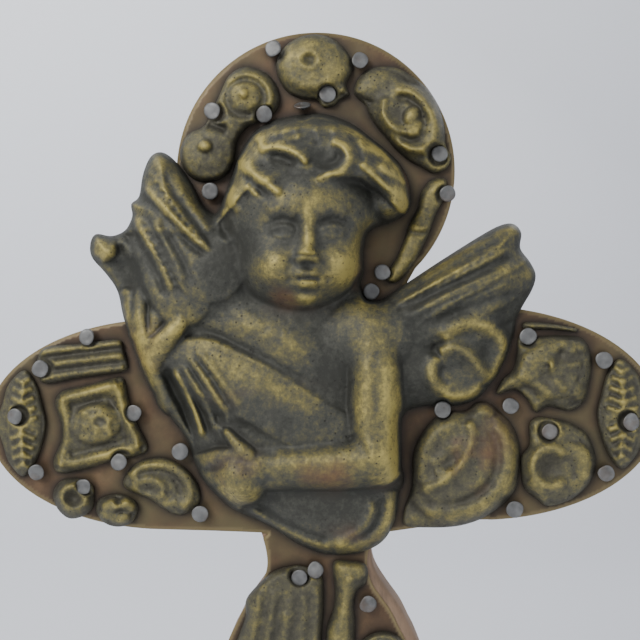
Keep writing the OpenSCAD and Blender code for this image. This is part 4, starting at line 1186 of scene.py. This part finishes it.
def shape_knot(r):
    for x, z, rx, rz, top in ((-104, -42, 6, 5, 8), (-96, -41, 5, 4.5, 8.5), (-100, -47, 6, 4.2, 7.5),
                              (-107, -46, 4, 3.5, 6)):
        r.dome(x, z, rx, rz, top, foot=3, blend=1.2)
    r.ridge([(-106, -38), (-101, -41), (-93, -38)], 1.2, 1.6)
    r.ridge([(-101, -38), (-101, -44), (-103, -50)], 1.2, -1.6)
    r.ridge([(-108, -43), (-101, -44.5), (-93, -43)], 1.1, -1.2)
    r.add(-101, -42.5, 1.8, 1.6, 2.6)


def shape_ring_mount(r):
    r.dome(-124, -38, 10, 9.5, 6, foot=3)
    r.ring(-123.5, -37.5, 6.4, 6.0, 1.8, 2.6)
    r.add(-123.5, -37.5, 3.6, 3.4, -3.0)
    r.ridge([(-131, -44), (-125, -47), (-118, -46)], 1.0, 1.2)


def make_end_leaf(node, name, side, rise, material):
    """A veined leaf that closes the end of an arm."""
    r = Relief(node, GRID["small"])
    r.dome(side * 149, rise, 9, 26, 6.5, foot=3, power=0.7)
    r.ridge([(side * 149, rise - 24), (side * 151, rise), (side * 149, rise + 24)], 1.3, 2.0)
    for i in range(-4, 5):
        z = rise + 5 * i
        spread = 8 - 0.9 * abs(i)
        up = 3 if i >= 0 else -3
        for way in (-1, 1):
            r.ridge([(side * 150.5, z), (side * (150 + way * spread / 2), z + up * 0.7),
                     (side * (150 + way * spread), z + up)],
                    0.9, 1.4, 0.1)
            r.ridge([(side * 150.5, z + 2.4), (side * (150 + way * spread), z + 2.4 + up)], 0.8, -0.9, 0.1)
    r.settle(1.4)
    r.build(name, material, 1.0, 0.06)


def shape_scallop(r):
    r.dome(72, -20, 34, 30, 11.5, foot=4.5, turn=-40, blend=3, power=0.6)
    # worn scalloped rim down the right side and along the bottom
    rim = curve_through([(91, 3), (97, -8), (98, -20), (94, -32), (84, -41), (68, -46.5), (48, -46)],
                        6, False)
    for x, z in rim[::3]:
        r.add(x, z, 3.2, 3.2, 1.4)
    r.ridge([(88, 3), (93, -8), (94, -20), (90, -31), (80, -39), (66, -43), (48, -42)], 2.6, 1.8, 0.08)
    r.ridge([(84, 1), (89, -9), (89, -20), (85, -29), (76, -36), (63, -39), (50, -38)], 1.9, -1.7, 0.08)
    r.ridge([(55, -40), (66, -37), (76, -32), (83, -24), (85, -14)], 2.4, 0.9, 0.1)
    # eye-shaped hollow with a worn knob beside it
    r.ridge([(50, -32), (60, -29), (69, -22), (75, -13), (77, -3), (74, 3)], 2.3, 2.8, 0.08)
    r.ridge([(52, -28), (52, -18), (56, -8), (64, -1), (73, 2)], 2.2, 1.0, 0.1)
    r.add(64, -15, 9, 8, -2.6, turn=42)
    r.ridge([(56, -21), (63, -15), (68, -8)], 2.4, 2.0, 0.2)
    r.ridge([(58, -24), (63, -22.5), (68, -23)], 1.6, 1.6)
    r.add(70, -10, 3.2, 4.2, 2.0, turn=-20)
    r.dome(83, 7.5, 5.5, 4.5, 9, foot=5, blend=2.5)
    r.ridge([(76, 5), (84, 6), (91, 3)], 1.6, 1.0)
    for points, width, amount in (
        ([(91, 2), (98, -12), (94, -32)], 3.0, 0.22),
        ([(50, -46), (68, -46), (84, -40)], 3.4, 0.24),
        ([(62, -28), (75, -13), (76, 0)], 2.6, 0.2),
    ):
        r.gild(points, width, amount)
    r.blush(72, -6, 18, 16, 0.9)
    r.blush(60, -20, 14, 12, 0.9)
    r.blush(82, -26, 8, 12, 0.6)


def shape_acanthus(r):
    r.dome(113, 27, 22, 19, 8.5, foot=4, blend=3, power=0.6)
    r.tube([(92, 18), (99, 24), (106, 30), (114, 36)], [4, 6, 7, 6], [6, 9, 11, 11], 4, blend=3)
    r.tube([(104, 43), (112, 43), (122, 40), (131, 39)], [3, 4, 4, 3], [6, 8.5, 9, 7], 4, blend=2.5)
    r.tube([(108, 14), (115, 18), (124, 19), (131, 16)], [4, 5, 5, 4], [7, 9, 9.5, 7], 4, blend=2.5)
    for i in range(5):
        a = math.radians(-58 + 30 * i)
        r.ridge([(114, 30), (114 + 8 * math.cos(a), 30 + 8 * math.sin(a)),
                 (114 + 17 * math.cos(a), 30 + 15 * math.sin(a))],
                1.7, 1.7, 0.1)
    r.add(118, 35, 4, 3.4, -3.4)
    r.ridge([(100, 20), (106, 17), (109, 11)], 1.8, -2.0)
    r.ridge([(97, 26), (107, 22), (118, 13)], 2.0, 1.4)


def shape_edge_bar(r):
    r.ridge([(103, 49.5), (113, 49.6), (127, 47.4)], 1.0, 1.4, 0.05)


def shape_ring_leaf(r):
    r.dome(118, -17, 19, 19, 7, foot=3.6, blend=3, power=0.7)
    r.ring(115.5, -20, 9.0, 9.4, 2.6, 3.6, span=(20, 335))
    r.add(115.5, -20.5, 5.4, 5.6, -2.8)
    r.ridge([(106, -2), (110, 2), (117, 1), (121, -6)], 2.2, 2.2)
    r.ridge([(103, -27), (109, -32), (114, -39)], 2.2, 2.2)
    r.tube([(122, -10), (130, -14), (132, -24), (125, -33)], [4, 5, 5, 4], [7, 9, 8.5, 6], 4, blend=2.5)


def shape_pleated(r):
    r.dome(-18, -100, 28, 38, 8.5, foot=4.5, blend=3, power=0.6)
    pleats = [
        ([(-28, -84), (-30.5, -95), (-33, -110), (-37, -128)], 2.4, 1.8),
        ([(-21, -82), (-23, -94), (-25.5, -110), (-29, -129)], 2.0, 1.2),
        ([(-13, -86), (-15, -96), (-17, -110), (-20, -130)], 2.4, 0.8),
        ([(-6, -84), (-6.5, -95), (-8, -110), (-11, -129)], 2.2, 0.9),
        ([(0, -79), (0.5, -92), (0, -108), (-2, -126)], 2.4, 1.6),
    ]
    for points, width, amount in pleats:
        r.ridge(points, width, amount, 0.1)
    for (a, _, _), (b, _, _) in zip(pleats, pleats[1:]):
        r.ridge([((p[0] + q[0]) / 2, (p[1] + q[1]) / 2) for p, q in zip(a, b)], 1.9, -1.0, 0.15)
    r.ridge([(-33, -87), (-24, -78), (-14, -74), (-2, -76)], 2.2, 1.0)
    r.ridge([(-19, -94), (-15, -96), (-10, -94)], 1.6, 0.8)


def shape_bone(r):
    r.tube([(16, -72), (15, -84), (13, -97), (11.5, -108), (12, -116)], [8, 5.6, 6.2, 7.6, 6],
           [8, 8.5, 9, 9.5, 7], 5, blend=2.5)
    r.dome(16.5, -72, 9, 6, 8.5, foot=5, blend=3)
    r.ridge([(15, -75), (16, -78), (18, -75)], 1.4, 1.8)
    r.ridge([(10, -80), (10, -90), (7, -99)], 1.6, -0.8)
    r.ridge([(19, -86), (17.5, -96), (18, -106)], 1.5, -0.8)
    r.rub(8, -104, 5, 5, 0.14)


def make_round(node, name, points, material):
    """A round casting: a raised border, a ring of petals and a button in the middle."""
    r = Relief(node, GRID["small"])
    low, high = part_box(node)
    x, z = (low.x + high.x) / 2 / MM, ((low.z + high.z) / 2 - CROSS_Z) / MM
    size = (high.x - low.x) / 2 / MM
    r.dome(x, z, size * 0.94, size * 0.94, 6, foot=3.2, power=0.7)
    r.ring(x, z, size * 0.84, size * 0.84, 1.2, 1.8)
    for i in range(points):
        a = 2 * math.pi * i / points
        near, far = size * 0.3, size * 0.7
        r.ridge([(x + near * math.cos(a), z + near * math.sin(a)),
                 (x + far * math.cos(a), z + far * math.sin(a))],
                size * 0.09, 2.0, 0.15)
    r.dome(x, z, size * 0.26, size * 0.26, 10, foot=5, blend=1.2)
    r.settle(1.4)
    r.build(name, material, 1.0, 0.06)


def shape_shaft_strap(r):
    middle = [(-30, -141), (-27, -153), (-22, -168), (-16, -182)]
    r.tube(middle, [5, 5, 5, 4], [7, 7.5, 7.5, 6.5], [4, 4, 4, 3])
    r.ridge(middle, 1.8, -1.0)
    for i in range(6):
        x, z = -29 + 2 * i, -146 - 5.6 * i
        r.ridge([(x - 4, z - 1.6), (x, z), (x + 4, z + 1.4)], 0.8, 0.9)


def shape_husk(r):
    r.dome(2, -190, 11, 22, 8, foot=3.2, turn=4, power=0.7)
    r.ridge([(1, -175), (2, -190), (-1, -216)], 1.2, 2.0)
    for side in (-1, 1):
        for i in range(5):
            z = -180 - 6 * i
            r.ridge([(1.5, z), (1.5 + side * 5, z + 1.5), (1.5 + side * (9 - i), z + 5)], 0.9, 1.5, 0.1)


# ---------- copper sheet ----------


# an old nail's hole, which holds nothing
EMPTY_HOLE = (51.0, 85.0)


def make_facing(material):
    """The thin sheet, softly dented, with painted shade round the castings, under the nail heads and in an
    empty hole, and a painted highlight along its cut edge.
    """
    r = Relief("copper_facing", GRID["sheet"], base=0.0, rim=0.0, y=FACE_Y)
    # painted shade: darker on the sheet round the castings; this field holds each point's distance from the
    # nearest casting, and the shade fades over about 3 mm from there
    painted_shade_field = np.full(r.x.shape, 1e3)
    for relief_loop in RELIEF_LOOPS:
        low, high = relief_loop.min(0), relief_loop.max(0)
        w = r.window(np.array([low, high]), 9)
        far = -inside_distance(r.x[w], r.z[w], relief_loop)[0]
        painted_shade_field[w] = np.minimum(painted_shade_field[w], np.maximum(far, 0))
    shade = np.exp(-((painted_shade_field / 3.0) ** 1.3))
    # painted shade under and just round each nail head
    for x, z in NAIL_SPOTS:
        far = np.hypot(r.x - x, r.z - z)
        shade = np.maximum(shade, 0.8 * np.exp(-((far / 5.2) ** 4)))
    dents = 0.16 * roughness_field(r.x, r.z, 14, 21) + 0.08 * roughness_field(r.z, r.x, 5, 22)
    for x, z in NAIL_SPOTS:
        dents -= 0.25 * np.exp(-(((r.x - x) ** 2 + (r.z - z) ** 2) / 9))
    hole_x, hole_z = EMPTY_HOLE
    # painted shade of the empty hole: a small dark spot, with a shallow dent below it
    shade = np.maximum(shade, np.exp(-((np.hypot(r.x - hole_x, r.z - hole_z) / 1.6) ** 4)))
    dents -= 0.6 * np.exp(-(((r.x - hole_x) ** 2 + (r.z - hole_z) ** 2) / 2.2))
    # painted highlight: brighter within about half a millimetre of the sheet's outline and down its cut edge
    edge = np.exp(-np.maximum(r.d, 0) / 0.55)
    layers = (("painted_shade_field", shade, None, 0.3), ("edge", edge, 0.9, 0.35))
    mesh = r.shell("copper_sheet", dents, -0.12, WOOD_Y, layers)
    finish_piece("copper_sheet", mesh, material, "cross", ["copper_facing"])


# ---------- wood ----------


def inset(loop, amount):
    """The outline moved inwards, or outwards where amount is negative."""
    ahead = np.roll(loop, -1, 0) - loop
    ahead /= np.maximum(np.linalg.norm(ahead, axis=1, keepdims=True), 1e-9)
    turn = ahead + np.roll(ahead, 1, 0)
    turn /= np.maximum(np.linalg.norm(turn, axis=1, keepdims=True), 1e-9)
    return loop + amount * np.stack([-turn[:, 1], turn[:, 0]], 1)


def even_outline(loop, gap):
    """The same outline with no two points further apart than gap and none doubled."""
    points = []
    for a, b in zip(loop, np.roll(loop, -1, 0)):
        length = float(np.hypot(*(b - a)))
        if length < 0.05:
            continue
        count = max(1, math.ceil(length / gap))
        points += [a + (b - a) * i / count for i in range(count)]
    return np.array(points)


FRONT_SOFTNESS = 4.5
BACK_ROUND = 2.2
ROUND_STEPS = 4


def add_board(points, faces, loop, front_loop, hair_gap):
    """Adds a board lofted through rings: a soft front edge from the copper's own edge, and a rounded back.

    The back lies a hair's breadth in, so that the pegs' ends stay in sight.
    """
    base = len(points)
    thick = (BACK_Y - WOOD_Y) / MM - hair_gap
    rings = []
    turns = [math.pi / 2 * i / ROUND_STEPS for i in range(ROUND_STEPS + 1)]
    for a in turns:
        rings.append((front_loop + (loop - front_loop) * math.sin(a), FRONT_SOFTNESS * (1 - math.cos(a))))
    for a in turns:
        rings.append((inset(loop, BACK_ROUND * (1 - math.cos(a))), thick - BACK_ROUND * (1 - math.sin(a))))
    count = len(loop)
    for ring, deep in rings:
        points += [(x * MM, WOOD_Y + deep * MM, CROSS_Z + z * MM) for x, z in ring]
    for k in range(len(rings) - 1):
        low, high = base + k * count, base + (k + 1) * count
        for i in range(count):
            j = (i + 1) % count
            faces.append((low + i, high + i, high + j, low + j))
    faces.append(tuple(base + i for i in range(count)))
    last = base + (len(rings) - 1) * count
    faces.append(tuple(last + i for i in reversed(range(count))))


# how far from the crossing the upright's two lengths start, just inside the crossbar
LAP_Z = 51.5
# the longest gap between an outline's points, and how near the copper's edge the front edge follows it
OUTLINE_GAP = 3.0
COPPER_REACH = 8.0


def cut_loop(loop, level, way):
    """The part of an outline above a level, or below it where way is -1."""
    kept = []
    for a, b in zip(loop, np.roll(loop, -1, 0)):
        a_in, b_in = way * (a[1] - level) >= 0, way * (b[1] - level) >= 0
        if a_in:
            kept.append(a)
        if a_in != b_in:
            kept.append(a + (b - a) * (level - a[1]) / (b[1] - a[1]))
    return np.array(kept)


def flat_caps(mesh):
    """Smooth edges, with the broad flat faces left flat."""
    for face in mesh.polygons:
        face.use_smooth = abs(face.normal.y) < 0.999


def make_boards():
    """The crossbar whole, and the two lengths of the upright that show above and below it."""
    facing = node_loop("copper_facing", FACE_Y)
    upright = node_loop("upright_board", WOOD_Y)
    crossbar = node_loop("crossbar_board", BACK_Y)
    lengths = (cut_loop(upright, LAP_Z, 1), cut_loop(upright, -LAP_Z, -1))
    for node, name, loops, hair_gap, along, tone in (
        ("upright_board", "upright", lengths, 0.25, "z", (0.22, 0.145, 0.092)),
        ("crossbar_board", "crossbar", (crossbar,), 0.12, "x", (0.21, 0.138, 0.088)),
    ):
        points, faces = [], []
        for rough_loop in loops:
            loop = even_outline(rough_loop, OUTLINE_GAP)
            far, near_x, near_z = inside_distance(loop[:, 0], loop[:, 1], facing)
            near = np.stack([near_x, near_z], 1)
            front = np.where((np.abs(far) < COPPER_REACH)[:, None], near, loop)
            add_board(points, faces, loop, front, hair_gap)
        mesh = bpy.data.meshes.new(name)
        mesh.from_pydata(points, [], faces)
        material = wood_material(name + "_wood", along, tone)
        piece = finish_piece(name, mesh, material, "cross", [node])
        flat_caps(piece.data)


# ---------- nails ----------


def nail_parts(points, faces, centre, facing, axis, rng):
    """Adds one nail: a hammered head and the bare shank below it."""
    turn = facing.to_track_quat("Z", "Y")
    around = 28
    wobble = rng.uniform(0.97, 1.04)
    lobes = [(rng.uniform(0, 0.03), rng.uniform(0, 2 * math.pi)) for _ in range(3)]
    dent = (rng.uniform(-2, 2), rng.uniform(-2, 2), rng.uniform(0.15, 0.4))
    half = NAIL_T / 2
    profile = [
        (0.3, half), (0.6, half - 0.02), (0.82, half - 0.06), (0.94, half - 0.2), (1.0, 0.0),
        (0.95, -half + 0.18), (0.85, -half), (0.3, -half),
    ]
    first = len(points)
    for share, rise in profile:
        for i in range(around):
            a = 2 * math.pi * i / around
            r = NAIL_R * wobble * share
            uneven = 1.0
            for n, (size, phase) in enumerate(lobes, 2):
                uneven += size * math.sin(n * a + phase) * share
            r *= uneven
            x, z = r * math.cos(a), r * math.sin(a)
            drop = dent[2] * math.exp(-((x - dent[0]) ** 2 + (z - dent[1]) ** 2) / 3) if rise > 0 else 0
            points.append(centre + turn @ Vector((x * MM, z * MM, (rise - drop) * MM)))
    top = len(points)
    points.append(centre + turn @ Vector((0, 0, half * MM * 0.9)))
    rings = len(profile)
    for i in range(around):
        j = (i + 1) % around
        faces.append((first + i, first + j, top))
        for k in range(rings - 1):
            low, high = first + k * around, first + (k + 1) * around
            faces.append((low + i, high + i, high + j, low + j))
    # the shank leans over between the sheet and the head
    start = Vector((axis.x, FACE_Y + 3 * MM, axis.z))
    knee = Vector((axis.x, FACE_Y + (centre.y - FACE_Y) * 0.35, axis.z))
    sides, steps = 14, 9
    base = len(points)
    for k in range(steps + 1):
        t = k / steps
        place = start * (1 - t) ** 2 + knee * 2 * t * (1 - t) + centre * t * t
        ahead = (knee - start) * 2 * (1 - t) + (centre - knee) * 2 * t
        lean = ahead.to_track_quat("Z", "Y")
        for i in range(sides):
            a = 2 * math.pi * i / sides
            points.append(place + lean @ Vector((SHANK_R * MM * math.cos(a), SHANK_R * MM * math.sin(a), 0)))
    for k in range(steps):
        for i in range(sides):
            j = (i + 1) % sides
            low, high = base + k * sides, base + (k + 1) * sides
            faces.append((low + i, low + j, high + j, high + i))
    faces.append(tuple(base + i for i in reversed(range(sides))))
    faces.append(tuple(base + steps * sides + i for i in range(sides)))


def make_nails(material):
    rng = np.random.default_rng(4)
    for node, nails in NAILS.items():
        points, faces = [], []
        for centre, facing, axis in nails:
            nail_parts(points, faces, centre, facing, axis, rng)
        mesh = bpy.data.meshes.new(node)
        mesh.from_pydata(points, [], faces)
        finish_piece("hammered_" + node, mesh, material, "cross", [node])


# ---------- CAD nodes that show as they are ----------


def dress(node, material, bevel=0.0, steps=3):
    """Gives a CAD node its material and softens its edges."""
    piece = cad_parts[node]
    piece.data.materials.clear()
    piece.data.materials.append(material)
    piece.data.polygons.foreach_set("use_smooth", [True] * len(piece.data.polygons))
    weld = piece.modifiers.new("weld", "WELD")
    weld.merge_threshold = 2e-6
    if bevel:
        soften = piece.modifiers.new("soften", "BEVEL")
        soften.width = bevel * MM
        soften.segments = steps
        soften.limit_method = "ANGLE"
        soften.angle_limit = math.radians(38)
        soften.harden_normals = True
        evened = piece.modifiers.new("evened", "WEIGHTED_NORMAL")
        evened.keep_sharp = True
    else:
        split = piece.modifiers.new("split", "EDGE_SPLIT")
        split.split_angle = math.radians(35)


def dress_foot():
    brass = brass_material("turned_brass")
    bright = brass_material("screw_brass")
    steel = steel_material("bolt_steel", (0.30, 0.29, 0.28))
    peg = wood_material("peg_wood", "z", (0.33, 0.19, 0.11))
    for node in ("board_ferrule", "upper_collar", "lower_collar", "staff_socket", "socket_rim", "screw_boss"):
        dress(node, brass, 0.5)
    for node in ("knop_upper", "knop_lower", "knop_band"):
        dress(node, brass, 0.3)
    for node in ("tang_rod", "tang_pins", "knop_core", "tang_washer", "tang_nut"):
        dress(node, steel, 0.2)
    for node in ("thumbscrew", "pressure_pad"):
        dress(node, bright, 0.3)
    dress("lap_pegs", peg, 0.25)


# ---------- putting it together ----------

GRID = {"cherub": 0.55, "small": 0.42, "sheet": 1.1}
OTHER_RELIEFS = ("cherub_relief", "left_end_leaf", "right_end_leaf", "round_stud", "shaft_rosette")
# each small casting: its shape, CAD node and piece, how round its rim is, how rough it is cast, how strongly
# its crests are rubbed, and how much brighter it is all over
CASTINGS = (
    (shape_top_boss, "top_boss", "top_boss_casting", 1.8, 0.12, 0.7, 0.12),
    (shape_twin_boss, "twin_boss_plate", "twin_boss_casting", 1.6, 0.12, 0.6, 0.1),
    (shape_shell_scroll, "shell_scroll", "shell_scroll_casting", 1.6, 0.12, 0.6, 0.12),
    (shape_strap, "ribbed_strap", "strap_casting", 1.4, 0.12, 0.7, 0.14),
    (shape_fluted_bar, "fluted_bar", "fluted_bar_casting", 1.3, 0.12, 0.8, 0.04),
    (shape_plaque, "framed_plaque", "plaque_casting", 1.6, 0.12, 0.75, 0.14),
    (shape_c_scroll, "c_scroll", "c_scroll_casting", 1.5, 0.12, 0.7, 0.1),
    (shape_knot, "knot_flower", "knot_casting", 1.2, 0.12, 0.7, 0.1),
    (shape_ring_mount, "ring_mount", "ring_mount_casting", 1.3, 0.12, 0.7, 0.06),
    (shape_scallop, "scallop_cartouche", "scallop_casting", 1.8, 0.12, 0.7, 0.04),
    (shape_acanthus, "acanthus_curl", "acanthus_casting", 1.6, 0.12, 0.75, 0.1),
    (shape_edge_bar, "edge_bar", "edge_bar_casting", 0.8, 0.05, 1.0, 0.0),
    (shape_ring_leaf, "ring_leaf", "ring_leaf_casting", 1.5, 0.12, 0.75, 0.07),
    (shape_pleated, "pleated_plate", "pleated_casting", 1.8, 0.12, 0.6, 0.0),
    (shape_bone, "bone_scroll", "bone_casting", 1.6, 0.12, 0.75, 0.1),
    (shape_shaft_strap, "shaft_strap", "shaft_strap_casting", 1.3, 0.12, 0.9, 0.14),
    (shape_husk, "shaft_husk", "husk_casting", 1.4, 0.12, 1.0, 0.08),
)
RELIEF_NODES = OTHER_RELIEFS + tuple(casting[1] for casting in CASTINGS)
RELIEF_LOOPS = [node_loop(node, FACE_Y) for node in RELIEF_NODES]


def main():
    make_camera()
    make_stage()
    make_lights()
    bronze = bronze_material("cast_bronze", (0.37, 0.30, 0.085), (0.056, 0.056, 0.044))
    small = bronze_material("small_bronze", (0.34, 0.275, 0.08), (0.064, 0.059, 0.04))
    make_cherub(bronze)
    for shape, node, name, edge, grain, gain, shift in CASTINGS:
        r = Relief(node, GRID["small"])
        shape(r)
        r.settle(edge, grain)
        r.build(name, small, gain, shift)
    make_end_leaf("left_end_leaf", "left_leaf_casting", -1, 0, small)
    make_end_leaf("right_end_leaf", "right_leaf_casting", 1, 6.5, small)
    make_round("round_stud", "stud_casting", 8, small)
    make_round("shaft_rosette", "rosette_casting", 10, small)
    make_facing(copper_material())
    make_boards()
    make_nails(steel_material("nail_steel", (0.2, 0.2, 0.195)))
    dress_foot()


main()
